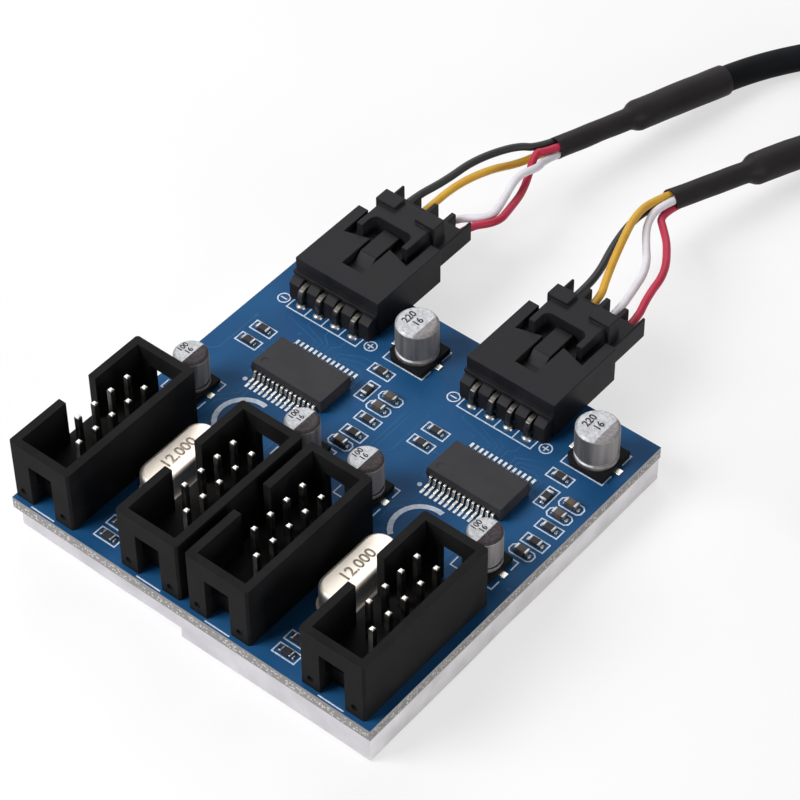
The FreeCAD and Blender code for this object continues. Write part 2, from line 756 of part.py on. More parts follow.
def wire_plug(half):
    body = new_body("wire_plug_" + half, "socket_%s_x" % half, "socket_y",
                    BOARD_TOP + " + socket_floor + plug_fit")
    front = "socket_front + plug_gap"
    axis = "wire_rise - socket_floor - plug_fit"
    housing = new_sketch(body, "XY_Plane", "0", "(plug_back + %s) / 2" % front)
    add(body, rectangle(housing, "plug_width", "plug_back - (%s)" % front), "plug_thick")
    bridge_front = "mouth_start + bridge_gap"
    bridge = new_sketch(body, "XY_Plane", "0", "(bridge_back + %s) / 2" % bridge_front, "plug_thick")
    add(body, rectangle(bridge, "bridge_width", "bridge_back - (%s)" % bridge_front), "bridge_rise")
    window = new_sketch(body, "XY_Plane", "0", bridge_front + " + window_length / 2",
                        "plug_thick + bridge_rise")
    cut(body, rectangle(window, "window_width", "window_length"), "bridge_rise")
    corner_x, corner_y = at["window_width"] / 2, worked_out(bridge_front + " + window_length")
    soften(body, "Fillet", "window_round", lambda middle, edge: upright(edge)
           and same(abs(middle.x), corner_x) and same(middle.y, corner_y))
    for side in ("-", ""):
        tab = new_sketch(body, "XY_Plane", side + "(tab_inner + tab_outer) / 2",
                         "(tab_start + bridge_back) / 2", "plug_thick")
        add(body, rectangle(tab, "tab_outer - tab_inner", "bridge_back - tab_start"), "tab_rise")
    top, under = "plug_thick + finger_rise", "plug_thick + finger_rise - finger_thick"
    finger = (
        ("finger_start", "plug_thick"), ("finger_start + finger_ramp", top), ("finger_end", top),
        ("finger_end", under), ("finger_start + 2 * finger_ramp", under),
        ("finger_start + 1.5 * finger_ramp", "plug_thick"),
    )
    add(body, polygon(new_sketch(body, "YZ_Plane"), finger), "finger_width", middle=True)
    tunnel = new_sketch(body, "XZ_Plane", "-(%s) / 2" % WIRE_SPAN, axis, "-plug_back")
    tunnel_length = "plug_back - (%s) - tunnel_start" % front
    row(body, cut(body, rectangle(tunnel, "tunnel_side", "tunnel_side"), tunnel_length, backwards=True),
        "X_Axis", WIRE_SPAN, WIRES)
    entry = new_sketch(body, "XZ_Plane", "-(%s) / 2" % WIRE_SPAN, axis, "-(%s) - tunnel_start" % front)
    row(body, cut(body, rectangle(entry, "entry_side", "entry_side"), "tunnel_start", backwards=True),
        "X_Axis", WIRE_SPAN, WIRES)
    notch = new_sketch(body, "XY_Plane", "-(%s) / 2" % WIRE_SPAN, "plug_back - notch_length / 2",
                       "plug_thick")
    row(body, cut(body, rectangle(notch, "tunnel_side", "notch_length"), "plug_thick - (%s)" % axis),
        "X_Axis", WIRE_SPAN, WIRES)


def crimp_terminal(tip, heading, wire_end):
    """A square box that grips the pin, and a barrel round the wire behind it."""
    side, bore = at["box_side"], at["box_bore"]
    shell = block((-side / 2, -side / 2, 0), (side / 2, side / 2, at["box_length"]))
    shell = shell.cut(block((-bore / 2, -bore / 2, 0), (bore / 2, bore / 2, at["box_length"])))
    up = Vector(0, 0, 1)
    barrel = rod(at["barrel_dia"] / 2, at["barrel_length"], up * at["box_length"], up)
    seat = rod(at["wire_dia"] / 2 + at["pin_fit"], at["barrel_length"], up * wire_end, up)
    terminal = shell.fuse(barrel.cut(seat)).removeSplitter()
    terminal.Placement = Placement(tip, Rotation(Vector(0, 0, 1), heading))
    return terminal


def plug_terminals():
    terminals = []
    for half in HALVES:
        for offset in wire_offsets:
            tip = Vector(at["socket_%s_x" % half] + offset, at["socket_y"] + at["box_start"],
                         board_top + at["wire_rise"])
            wire_end = at["wire_start"] - at["box_start"]
            terminals.append(crimp_terminal(tip, Vector(0, 1, 0), wire_end))
    group("plug_terminals", terminals)


# Cords: hand-laid routes, from the plugs through the sleeves to the floor

SLEEVE_MOUTH = {"left": (-12.75, 55.1, 6.0), "right": (3.2, 56.3, 6.0)}
SLEEVE_END = {"left": (-6.6, 81.5, 2.35), "right": (11.3, 83.6, 2.35)}
BUNDLE = {"black": (-1, 1), "yellow": (-1, -1), "white": (1, 1), "red": (1, -1)}
BUNDLE_RIGHT = {"black": (-1, -1), "yellow": (-1, 1), "white": (1, -1), "red": (1, 1)}
WIRE_ROUTES = {
    "black_left": [(-17.9, 40.8, 7.7), (-16.9, 45.6, 8.0), (-15.2, 50.6, 7.4)],
    "yellow_left": [(-16.3, 41.2, 7.5), (-15.3, 46.3, 7.4), (-13.9, 50.8, 6.6)],
    "white_left": [(-11.7, 39.8, 7.2), (-10.9, 43.0, 7.2), (-12.2, 47.2, 7.3), (-12.3, 51.3, 7.1)],
    "red_left": [(-10.3, 39.9, 7.2), (-9.1, 43.0, 6.8), (-10.7, 47.2, 6.2), (-12.7, 51.2, 5.6)],
    "black_right": [(4.9, 40.6, 7.0), (3.2, 45.6, 6.5), (2.2, 51.0, 5.9)],
    "yellow_right": [(6.5, 40.0, 8.0), (4.8, 44.6, 8.4), (3.0, 49.8, 8.0)],
    "white_right": [(9.9, 40.2, 7.2), (8.6, 44.6, 6.9), (5.7, 48.6, 6.5), (4.2, 51.8, 6.0)],
    "red_right": [(11.9, 40.8, 7.3), (10.7, 45.0, 7.2), (7.6, 49.3, 7.0), (5.4, 52.0, 6.7)],
}
CABLE_ROUTES = {
    "left": [(-2.4, 91.3, 1.7), (3.8, 99.6, 1.7), (13.2, 106.0, 1.7)],
    "right": [(15.0, 94.5, 1.7), (20.7, 103.9, 1.7)],
}
COIL_LEAD = {"left": 9.5, "right": 5.2}
COIL_START, COIL_CLIMB, COIL_LIFT, COIL_END = 95.0, -60.0, -158.0, -360.0
FAR_RUN = {
    "left": [(55.3, 82.6, 5.375), (55.4, 75.4, 5.6), (55.45, 69.0, 5.0), (55.6, 63.5, 4.8)],
    "right": [(51.9, 82.6, 5.375), (51.7, 75.4, 5.6), (51.4, 69.0, 3.9), (51.3, 63.5, 3.5)],
}


def coil_point(half, angle, layer):
    radius = at["coil_%s_radius" % half]
    x = at["coil_x"] + radius * math.cos(angle * DEGREES)
    y = at["coil_y"] + radius * math.sin(angle * DEGREES)
    return x, y, at["cable_dia"] / 2 + layer * at["coil_layer"]


def sleeve_frame(half):
    """The sleeve's mouth and end, its heading, and the two directions across it."""
    mouth, end = Vector(*SLEEVE_MOUTH[half]), Vector(*SLEEVE_END[half])
    heading = (end - mouth).normalize()
    right = heading.cross(Vector(0, 0, 1)).normalize()
    return mouth, end, heading, right, right.cross(heading)


def wires():
    for half in HALVES:
        mouth, _, heading, right, up = sleeve_frame(half)
        seats = BUNDLE if half == "left" else BUNDLE_RIGHT
        for colour, offset in zip(WIRE_COLOURS, wire_offsets):
            x, z = at["socket_%s_x" % half] + offset, board_top + at["wire_rise"]
            across, above = seats[colour]
            seat = mouth + right * (across * at["bundle_step"] / 2) + up * (above * at["bundle_step"] / 2)
            route = [(x, at["socket_y"] + at["wire_start"], z), (x, at["socket_y"] + at["plug_back"], z)]
            route += WIRE_ROUTES[colour + "_" + half]
            route += [tuple(seat - heading * at["bundle_lead"]), tuple(seat + heading * at["bundle_depth"])]
            label = "wire_%s_%s" % (colour, half)
            group(label, [cord_solid(label, route, at["wire_dia"])])


def heat_shrink(half):
    mouth, end, heading, _, _ = sleeve_frame(half)
    length = (end - mouth).Length
    body = doc.addObject("PartDesign::Body", "heat_shrink_" + half)
    body.Label = "heat_shrink_" + half
    thin, thick, bore = "sleeve_thin / 2", "sleeve_thick / 2", "sleeve_bore / 2"
    taper_end = "sleeve_thin_length + sleeve_taper"
    outline = (
        ("0", "bundle_depth"), (bore, "bundle_depth"), (bore, "0"), (thin, "0"),
        (thin, "sleeve_thin_length"), (thick, taper_end), (thick, "%.6f" % length), ("0", "%.6f" % length),
    )
    turned = body.newObject("PartDesign::Revolution", body.Name + "_turned")
    turned.Profile = polygon(new_sketch(body, "XZ_Plane"), outline)
    turned.ReferenceAxis = (turned.Profile[0], ["V_Axis"])
    turned.Angle = FULL_TURN
    body.Placement = Placement(mouth, Rotation(Vector(0, 0, 1), heading))
    doc.recompute()
    nodes.append(body)


def ring_sector(first, last, low, high):
    """Part of the coil's ring between two angles and two heights, clockwise from above."""
    inner = at["coil_right_radius"] - at["cable_dia"] / 2
    outer = at["coil_left_radius"] + at["cable_dia"] / 2
    centre = Vector(at["coil_x"], at["coil_y"], low)
    turn = Rotation(Vector(0, 0, 1), last)
    ring = [Part.makeCylinder(radius, high - low, Vector(0, 0, 0), Vector(0, 0, 1), first - last)
            for radius in (outer, inner)]
    sector = ring[0].cut(ring[1])
    sector.Placement = Placement(centre, turn)
    return sector


def cables():
    diameter, layer = at["cable_dia"], at["coil_layer"]
    arriving = Vector(math.sin(COIL_START * DEGREES), -math.cos(COIL_START * DEGREES), 0)
    for half in HALVES:
        _, end, heading, _, _ = sleeve_frame(half)
        start = Vector(*coil_point(half, COIL_START, 0))
        route = [tuple(end), tuple(end + heading * at["cable_lead"])] + CABLE_ROUTES[half]
        route += [tuple(start - arriving * COIL_LEAD[half]), tuple(start)]
        group("cable_" + half, [cord_solid("cable_" + half, route, diameter)])
    coil = ring_sector(COIL_START, COIL_CLIMB, 0, layer)
    coil = coil.fuse(ring_sector(COIL_CLIMB, COIL_LIFT, 0, 2 * layer))
    coil = coil.fuse(ring_sector(COIL_LIFT + FULL_TURN, COIL_END + FULL_TURN, layer, 2 * layer))
    group("cable_coil", [coil.removeSplitter()])
    for half in HALVES:
        label = "cable_%s_end" % half
        route = [coil_point(half, COIL_END, 1)] + FAR_RUN[half]
        group(label, [cord_solid(label, route, diameter)])


# Far end: two sleeves, eight wires and the two-row plug that goes onto a main board

def far_plug():
    body = new_body("motherboard_plug", "far_x", "far_y", "0")
    outline = new_sketch(body, "XY_Plane", "0", "far_length / 2")
    add(body, rectangle(outline, "far_width", "far_length"), "far_thick")
    for level in ("-", "+"):
        rise = "far_thick / 2 %s pitch / 2" % level
        tunnel = new_sketch(body, "XZ_Plane", "-(%s) / 2" % ROW_SPAN, rise, "-far_length")
        rectangle(tunnel, "tunnel_side", "tunnel_side")
        row(body, cut(body, tunnel, "far_length - far_face", backwards=True),
            "X_Axis", ROW_SPAN, PINS_IN_ROW)
        count = PINS_IN_ROW if level == "-" else PINS_IN_ROW - 1
        entry = new_sketch(body, "XZ_Plane", "-(%s) / 2" % ROW_SPAN, rise, "0")
        row(body, cut(body, rectangle(entry, "entry_side", "entry_side"), "far_face"),
            "X_Axis", "%d * pitch" % (count - 1), count)
        lift, backwards = ("far_thick", False) if level == "+" else ("0", True)
        window = new_sketch(body, "XY_Plane", "-(%s) / 2" % ROW_SPAN,
                            "far_window_start + far_window_length / 2", lift)
        depth = "far_thick / 2 - pitch / 2"
        rectangle(window, "far_window", "far_window_length")
        row(body, cut(body, window, depth, backwards=backwards), "X_Axis", ROW_SPAN, PINS_IN_ROW)


def far_end():
    sleeves, far_wires, terminals = [], [], []
    plug_back = at["far_y"] + at["far_length"]
    box_tip = at["far_y"] + at["far_face"] + at["plug_gap"]
    for half, level in zip(HALVES, (1, -1)):
        start = Vector(*FAR_RUN[half][-1])
        heading = (start - Vector(*FAR_RUN[half][-2])).normalize()
        end = start + heading * at["far_sleeve_length"]
        sleeves.append(Part.makeCylinder(at["sleeve_thick"] / 2, at["far_sleeve_length"], start, heading))
        right = heading.cross(Vector(0, 0, 1)).normalize()
        up = right.cross(heading)
        z = at["far_thick"] / 2 + level * at["pitch"] / 2
        for number, (across, above) in enumerate(((1, 1), (1, -1), (-1, -1), (-1, 1))):
            x = at["far_x"] + (number - (PINS_IN_ROW - 1) / 2) * at["pitch"]
            wire_end = plug_back - at["barrel_length"]
            tip = Vector(x, box_tip, z)
            terminals.append(crimp_terminal(tip, Vector(0, 1, 0), wire_end - box_tip))
            seat = end + right * (across * at["far_bundle"] / 2) + up * (above * at["far_bundle"] / 2)
            middle = (seat + Vector(x, plug_back, z)) / 2
            route = [tuple(seat), tuple(seat + heading * 3.0), (x, middle.y - 2.0, z), (x, wire_end, z)]
            far_wires.append(cord_solid("far wire", route, at["wire_dia"]))
    group("far_sleeves", sleeves)
    group("far_wires", far_wires)
    group("motherboard_terminals", terminals)


board()
split = "foam_split"
foam_pad("left", "-board_width / 2", split + " - foam_seam", "foam_inset - board_depth / 2", SHROUD_X[:2])
foam_pad("right", split, "board_width / 2", "-board_depth / 2", SHROUD_X[2:])
for number in range(1, 5):
    shroud(number)
    header_pins(number)
for half in HALVES:
    hub_chip(half)
    chip_leads(half)
    crystal(half)
    wire_header(half)
    wire_header_pins(half)
    wire_plug(half)
    heat_shrink(half)
crystal_leads()
for number, (kind, x) in enumerate(CAPACITORS, start=1):
    capacitor_can(number, kind, x)
    capacitor_base(number, kind, x)
capacitor_leads()
chip_parts()
plug_terminals()
wires()
cables()
far_plug()
far_end()

# Check every object, then write the sub-parts

doc.recompute()
for item in doc.Objects:
    if "Invalid" in item.State or "Error" in item.State:
        raise RuntimeError("%s failed to build" % item.Label)
for node in nodes:
    if node.Shape.isNull() or not node.Shape.isValid():
        raise RuntimeError("%s has no valid shape" % node.Label)
os.makedirs("parts", exist_ok=True)
for node in nodes:
    node.Shape.exportStep("parts/%s.step" % node.Label)
print("%d sub-parts written" % len(nodes))
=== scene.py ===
import math

import bpy
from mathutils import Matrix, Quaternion, Vector, noise


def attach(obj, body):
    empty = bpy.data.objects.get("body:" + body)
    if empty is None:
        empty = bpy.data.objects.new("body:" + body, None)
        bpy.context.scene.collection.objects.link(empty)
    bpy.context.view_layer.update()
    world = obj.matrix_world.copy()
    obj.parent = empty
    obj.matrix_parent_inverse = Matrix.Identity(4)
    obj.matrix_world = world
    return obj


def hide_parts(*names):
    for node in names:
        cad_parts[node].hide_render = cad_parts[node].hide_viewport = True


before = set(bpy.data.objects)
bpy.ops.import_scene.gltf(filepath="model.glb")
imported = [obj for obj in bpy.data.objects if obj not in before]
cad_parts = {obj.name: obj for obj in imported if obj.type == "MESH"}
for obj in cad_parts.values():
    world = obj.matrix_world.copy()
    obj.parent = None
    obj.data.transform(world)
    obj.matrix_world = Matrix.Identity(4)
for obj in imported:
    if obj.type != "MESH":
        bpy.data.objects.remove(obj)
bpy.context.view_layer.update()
mm = 0.001
boardTop = 5.0  # height of the board's upper face above the floor, in millimetres
halfStep = 24.95  # the board's right half repeats the left one this far along
socketX = {"left": -15.8, "right": 8.9}  # middles of the two wire headers
wireOffsets = {"black": -3.81, "yellow": -1.27, "white": 1.27, "red": 3.81}


# small helpers

def point(x, y, z):
    return Vector((x * mm, y * mm, z * mm))


def clearSelection():
    if bpy.context.object and bpy.context.object.mode != "OBJECT":
        bpy.ops.object.mode_set(mode="OBJECT")
    bpy.ops.object.select_all(action="DESELECT")


def makeActive(piece):
    clearSelection()
    piece.select_set(True)
    bpy.context.view_layer.objects.active = piece


def editAll(piece):
    makeActive(piece)
    bpy.ops.object.mode_set(mode="EDIT")
    bpy.ops.mesh.select_all(action="SELECT")


def leaveEdit():
    bpy.ops.object.mode_set(mode="OBJECT")


def selectFaces(piece, wanted):
    # picks faces by their place or normal, and goes back into edit mode
    leaveEdit()
    for part in (piece.data.vertices, piece.data.edges, piece.data.polygons):
        part.foreach_set("select", [False] * len(part))
    for face in piece.data.polygons:
        face.select = wanted(face)
    bpy.ops.object.mode_set(mode="EDIT")
    bpy.ops.mesh.select_mode(type="FACE")


def applyModifier(piece, kind, **settings):
    makeActive(piece)
    modifier = piece.modifiers.new(kind.lower(), kind)
    for name, value in settings.items():
        setattr(modifier, name, value)
    bpy.ops.object.modifier_apply(modifier=modifier.name)


def settle(piece):
    # the place goes into the mesh, and the object to the origin
    makeActive(piece)
    bpy.ops.object.transform_apply(location=True, rotation=True, scale=True)


def smooth(piece, degrees=32):
    makeActive(piece)
    bpy.ops.object.shade_smooth_by_angle(angle=math.radians(degrees))


def joinPieces(name, pieces):
    clearSelection()
    for piece in pieces:
        piece.select_set(True)
    bpy.context.view_layer.objects.active = pieces[0]
    bpy.ops.object.join()
    joined = bpy.context.object
    joined.name = name
    return joined


def copyAt(piece, x, y, turn=0.0):
    # a copy with its own mesh, turned about the upright axis and moved in millimetres
    twin = bpy.data.objects.new(piece.name + "Copy", piece.data.copy())
    bpy.context.scene.collection.objects.link(twin)
    twin.rotation_euler.z = math.radians(turn)
    twin.location = point(x, y, 0)
    settle(twin)
    return twin


def dropAll(pieces):
    for piece in pieces:
        bpy.data.objects.remove(piece)


def ridesAs(piece, material, slot, *nodes):
    piece.data.materials.clear()
    piece.data.materials.append(material)
    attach(piece, "root")
    if nodes:
        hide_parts(*nodes)
    return piece


rounding = {"merge": 1e-6, "flat": 1.0, "corner": 38}  # metres, degrees, degrees


def dressNode(nodeName, material, slot, edge=0.08, segments=2):
    # the node's own mesh, merged, with its moulded or stamped edges rounded
    piece = bpy.data.objects.new(nodeName + "_dressed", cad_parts[nodeName].data.copy())
    bpy.context.scene.collection.objects.link(piece)
    editAll(piece)
    bpy.ops.mesh.remove_doubles(threshold=rounding["merge"])
    bpy.ops.mesh.dissolve_limited(angle_limit=math.radians(rounding["flat"]))
    leaveEdit()
    applyModifier(piece, "BEVEL", width=edge * mm, segments=segments, limit_method="ANGLE",
                  angle_limit=math.radians(rounding["corner"]), use_clamp_overlap=True)
    smooth(piece)
    applyModifier(piece, "WEIGHTED_NORMAL", weight=100, keep_sharp=True)  # large faces stay flat to the eye
    return ridesAs(piece, material, slot, nodeName)


# material helpers: sRGB hex to linear, one function that adds any node, one that starts a shader

def hexColour(text):
    channels = [int(text[i:i + 2], 16) / 255 for i in (1, 3, 5)]
    linear = [c / 12.92 if c <= 0.04045 else ((c + 0.055) / 1.055) ** 2.4 for c in channels]
    return (*linear, 1.0)


def addNode(tree, kind, sockets=None, **settings):
    node = tree.nodes.new("ShaderNode" + kind)
    for name, value in settings.items():
        setattr(node, name, value)
    for name, value in (sockets or {}).items():
        if isinstance(value, bpy.types.NodeSocket):
            tree.links.new(value, node.inputs[name])
        else:
            node.inputs[name].default_value = value
    return node


def startMaterial(name, **sockets):
    material = bpy.data.materials.new(name)
    material.use_nodes = True
    tree = material.node_tree
    shader = tree.nodes["Principled BSDF"]
    for socket, value in sockets.items():
        shader.inputs[socket.replace("_", " ")].default_value = value
    place = addNode(tree, "TexCoord")
    return material, tree, shader, place


def ramp(tree, factor, low, high, start=0.35, end=0.65):
    blend = addNode(tree, "ValToRGB", {"Fac": factor})
    for element, colour, at in zip(blend.color_ramp.elements, (low, high), (start, end)):
        element.color = hexColour(colour)
        element.position = at
    return blend.outputs["Color"]


grainDepth = 0.03  # of every surface's grain, in millimetres


def tintAndGrain(tree, shader, place, colours, patch, grain, bump, rough, stretch=(1, 1, 1)):
    # colour and gloss drift over patches of so many millimetres, and a finer grain bumps the surface;
    # stretch draws the grain out along an axis, as brushing or extruding does
    drawn = addNode(tree, "Mapping", {"Vector": place.outputs["Object"], "Scale": stretch}).outputs["Vector"]
    patches = {"Vector": drawn, "Scale": 1 / (patch * mm), "Detail": 3.0}
    drift = addNode(tree, "TexNoise", patches).outputs["Fac"]
    tint = ramp(tree, drift, *colours)
    tree.links.new(tint, shader.inputs["Base Color"])
    grains = {"Vector": drawn, "Scale": 1 / (grain * mm), "Detail": 2.0}
    fine = addNode(tree, "TexNoise", grains).outputs["Fac"]
    dull = addNode(tree, "MapRange", {"Value": drift, "From Min": 0.3, "From Max": 0.7,
                                      "To Min": rough[0], "To Max": rough[1]})
    tree.links.new(dull.outputs["Result"], shader.inputs["Roughness"])
    relief = addNode(tree, "Bump", {"Height": fine, "Strength": bump, "Distance": grainDepth * mm})
    tree.links.new(relief.outputs["Normal"], shader.inputs["Normal"])
    return tint


def upwardMask(tree, place, least):
    # 1 where the surface faces straight up or down, 0 on the sides
    upright = addNode(tree, "SeparateXYZ", {"Vector": place.outputs["Normal"]}).outputs["Z"]
    flat = addNode(tree, "Math", {0: upright}, operation="ABSOLUTE").outputs["Value"]
    return addNode(tree, "Math", {0: flat, 1: least}, operation="GREATER_THAN").outputs["Value"]


def paintedSideLightMask(tree, place):
    # 1 on faces to the left and right, 0 on the front, back and top; these faces get painted light
    sideways = addNode(tree, "SeparateXYZ", {"Vector": place.outputs["Normal"]}).outputs["X"]
    return addNode(tree, "Math", {0: sideways}, operation="ABSOLUTE").outputs["Value"]


def mixColour(tree, shader, factor, colourA, colourB):
    mix = addNode(tree, "Mix", {"Factor": factor, "A": colourA, "B": colourB}, data_type="RGBA")
    tree.links.new(mix.outputs["Result"], shader.inputs["Base Color"])


# materials, each named for what the real surface is

def solderMaskBoard():
    # glass-epoxy laminate under semi-gloss blue mask: deep blue on its faces; the snapped front edge is
    # grey resin with bright ends of glass along its middle height; the routed sides are painted paler, as
    # painted light
    material, tree, shader, place = startMaterial("solderMaskBoard", IOR=1.5, Specular_IOR_Level=0.07)
    blue = tintAndGrain(tree, shader, place, ("#174671", "#20517d"), 9.0, 0.5, 0.05, (0.4, 0.52))
    specks = addNode(tree, "TexVoronoi", {"Vector": place.outputs["Object"], "Scale": 1 / (0.34 * mm)})
    glass = ramp(tree, specks.outputs["Distance"], "#dddbd5", "#8a8886", 0.12, 0.45)
    height = addNode(tree, "SeparateXYZ", {"Vector": place.outputs["Object"]}).outputs["Z"]
    offCentre = addNode(tree, "Math", {0: height, 1: (boardTop - 0.9) * mm}, operation="SUBTRACT")
    band = addNode(tree, "Math", {0: offCentre.outputs["Value"], 1: 0.0, 2: 0.5 * mm}, operation="COMPARE")
    # the left and right edges are painted paler than the front and back: painted light
    cut = addNode(tree, "Mix", {"Factor": paintedSideLightMask(tree, place), "A": hexColour("#878685"),
                                "B": hexColour("#a09e9a")}, data_type="RGBA")
    resin = addNode(tree, "Mix", {"Factor": band.outputs["Value"], "A": cut.outputs["Result"], "B": glass},
                    data_type="RGBA")
    mixColour(tree, shader, upwardMask(tree, place, 0.6), resin.outputs["Result"], blue)
    return material


def solderMaskTrack():
    # the same blue mask lying over a copper track, so a shade lighter
    material, tree, shader, place = startMaterial("solderMaskTrack", IOR=1.5, Specular_IOR_Level=0.08)
    tintAndGrain(tree, shader, place, ("#1d4d78", "#275a86"), 6.0, 0.5, 0.04, (0.36, 0.48))
    return material


def foamTape():
    # closed-cell polyethylene foam tape: matt and full of tiny open cells; its slit sides are painted paler
    # and its chopped ends darker: painted light and painted shade
    material, tree, shader, place = startMaterial("foamTape", IOR=1.45, Specular_IOR_Level=0.15)
    foamEndsPaintedShade = tintAndGrain(tree, shader, place, ("#bfbdc1", "#d0ced2"), 5.0, 0.35, 0.5, (0.85, 0.95))
    cells = addNode(tree, "TexNoise", {"Vector": place.outputs["Object"], "Scale": 1 / (4.0 * mm)})
    foamSidesPaintedLight = ramp(tree, cells.outputs["Fac"], "#dbd8da", "#ebe9ea")
    # the left and right sides get the pale painted light, the front and back ends the darker painted shade
    mixColour(tree, shader, paintedSideLightMask(tree, place), foamEndsPaintedShade, foamSidesPaintedLight)
    return material


def mouldedShroud():
    # glass-filled polyester, moulded in spark-eroded steel: near black with a fine satin
    material, tree, shader, place = startMaterial("mouldedShroud", IOR=1.5, Specular_IOR_Level=0.035)
    tintAndGrain(tree, shader, place, ("#161617", "#1f1f20"), 4.0, 0.22, 0.16, (0.5, 0.62))
    return material


def mouldedNylon():
    # nylon moulded in polished steel: smoother than the shrouds
    material, tree, shader, place = startMaterial("mouldedNylon", IOR=1.53, Specular_IOR_Level=0.08)
    tintAndGrain(tree, shader, place, ("#19191b", "#222225"), 3.5, 0.3, 0.1, (0.42, 0.54))
    return material


def mouldedEpoxy():
    # mineral-filled epoxy: dark grey and matt, with an eroded finish
    material, tree, shader, place = startMaterial("mouldedEpoxy", IOR=1.55, Specular_IOR_Level=0.1)
    tintAndGrain(tree, shader, place, ("#2c2c2f", "#353538"), 2.5, 0.12, 0.25, (0.5, 0.62))
    return material


def tinPlate():
    # bright tin on brass: soft reflections, slightly uneven
    material, tree, shader, place = startMaterial("tinPlate", Metallic=1.0)
    tintAndGrain(tree, shader, place, ("#a9a69f", "#c9c6bf"), 1.2, 0.18, 0.1, (0.26, 0.4))
    return material


def solderAlloy():
    # reflowed solder: smooth, with a cool grey bloom
    material, tree, shader, place = startMaterial("solderAlloy", Metallic=1.0)
    tintAndGrain(tree, shader, place, ("#6f7275", "#919396"), 0.9, 0.3, 0.12, (0.24, 0.38))
    return material


def nickelCan():
    # nickel over drawn steel, lightly brushed along its length: warm and pale
    material, tree, shader, place = startMaterial("nickelCan", Metallic=1.0)
    tintAndGrain(tree, shader, place, ("#d8cfc4", "#e8dfd4"), 2.4, 0.14, 0.14, (0.42, 0.56), (1, 0.12, 1))
    return material


def platedPinPaintedLight(name, upper):
    # tin over drawn brass wire: sides painted dull grey as a painted reflection of dark surroundings, and
    # tips and bends that face up painted another shade as painted light
    material, tree, shader, place = startMaterial(name, Metallic=1.0)
    side = tintAndGrain(tree, shader, place, ("#4f4d4a", "#6e6b67"), 1.2, 0.18, 0.1, (0.32, 0.46))
    mixColour(tree, shader, upwardMask(tree, place, 0.75), side, hexColour(upper))
    return material


def drawnAluminium(name, ink):
    # aluminium drawn into a can: matt grey sides with fine upright drawing lines, and the flat top painted
    # paler than the sides as painted light from above; ink covers the top past the print's edge and runs
    # over the rounded rim
    material, tree, shader, place = startMaterial(name, Specular_IOR_Level=0.15)
    side = tintAndGrain(tree, shader, place, ("#797675", "#949190"), 0.7, 0.12, 0.16, (0.56, 0.68),
                        (1, 1, 0.06))
    spots = {"Vector": place.outputs["Object"], "Scale": 1 / (0.3 * mm)}
    mottle = addNode(tree, "TexNoise", spots).outputs["Fac"]
    # the unprinted top, painted paler than the sides: painted light
    bare = ramp(tree, mottle, "#939497", "#a9aaad")
    past = addNode(tree, "Attribute", attribute_name="pastPrintEdge").outputs["Fac"]
    beyond = addNode(tree, "Math", {0: past, 1: 0.0}, operation="GREATER_THAN").outputs["Value"]
    printed = ramp(tree, mottle, *ink)
    top = addNode(tree, "Mix", {"Factor": beyond, "A": bare, "B": printed}, data_type="RGBA")
    upper = upwardMask(tree, place, 0.5)
    mixColour(tree, shader, upper, side, top.outputs["Result"])
    inked = addNode(tree, "Math", {0: beyond, 1: upper}, operation="MULTIPLY").outputs["Value"]
    metal = addNode(tree, "Math", {0: 1.0, 1: inked}, operation="SUBTRACT").outputs["Value"]
    tree.links.new(metal, shader.inputs["Metallic"])
    return material


def stencilInk(name, colours):
    # screen-printed ink, thin, and uneven where the mesh left it
    material, tree, shader, place = startMaterial(name, IOR=1.48, Specular_IOR_Level=0.2)
    tintAndGrain(tree, shader, place, colours, 0.5, 0.12, 0.1, (0.5, 0.65))
    return material


def firedCeramic():
    # barium titanate, fired: grey-brown and matt with a faint glaze
    material, tree, shader, place = startMaterial("firedCeramic", IOR=1.6, Specular_IOR_Level=0.15)
    tintAndGrain(tree, shader, place, ("#443b36", "#574d45"), 0.8, 0.1, 0.12, (0.4, 0.55))
    return material


def vinylWire(name, colours):
    # extruded vinyl insulation: soft gloss, faint drift of colour
    material, tree, shader, place = startMaterial(name, IOR=1.53, Specular_IOR_Level=0.25)
    tintAndGrain(tree, shader, place, colours, 4.0, 0.3, 0.06, (0.4, 0.52))
    return material


def vinylJacket():
    # matt vinyl jacket: near black, faintly orange-peeled by the extruder
    material, tree, shader, place = startMaterial("vinylJacket", IOR=1.53, Specular_IOR_Level=0.04)
    tintAndGrain(tree, shader, place, ("#101114", "#18191c"), 5.0, 0.4, 0.2, (0.5, 0.62))
    return material


def shrunkTube():
    # shrunk polyolefin: satin black, puckered a little where it gripped
    material, tree, shader, place = startMaterial("shrunkTube", IOR=1.5, Specular_IOR_Level=0.12)
    tintAndGrain(tree, shader, place, ("#191617", "#231f22"), 3.0, 0.6, 0.35, (0.42, 0.56), (1, 0.4, 1))
    return material


def hookAndLoop():
    # woven nylon strap with a brushed pile: matt black, fibrous
    material, tree, shader, place = startMaterial("hookAndLoop", IOR=1.5, Specular_IOR_Level=0.1)
    tintAndGrain(tree, shader, place, ("#151516", "#252527"), 0.6, 0.25, 0.8, (0.85, 0.95))
    return material


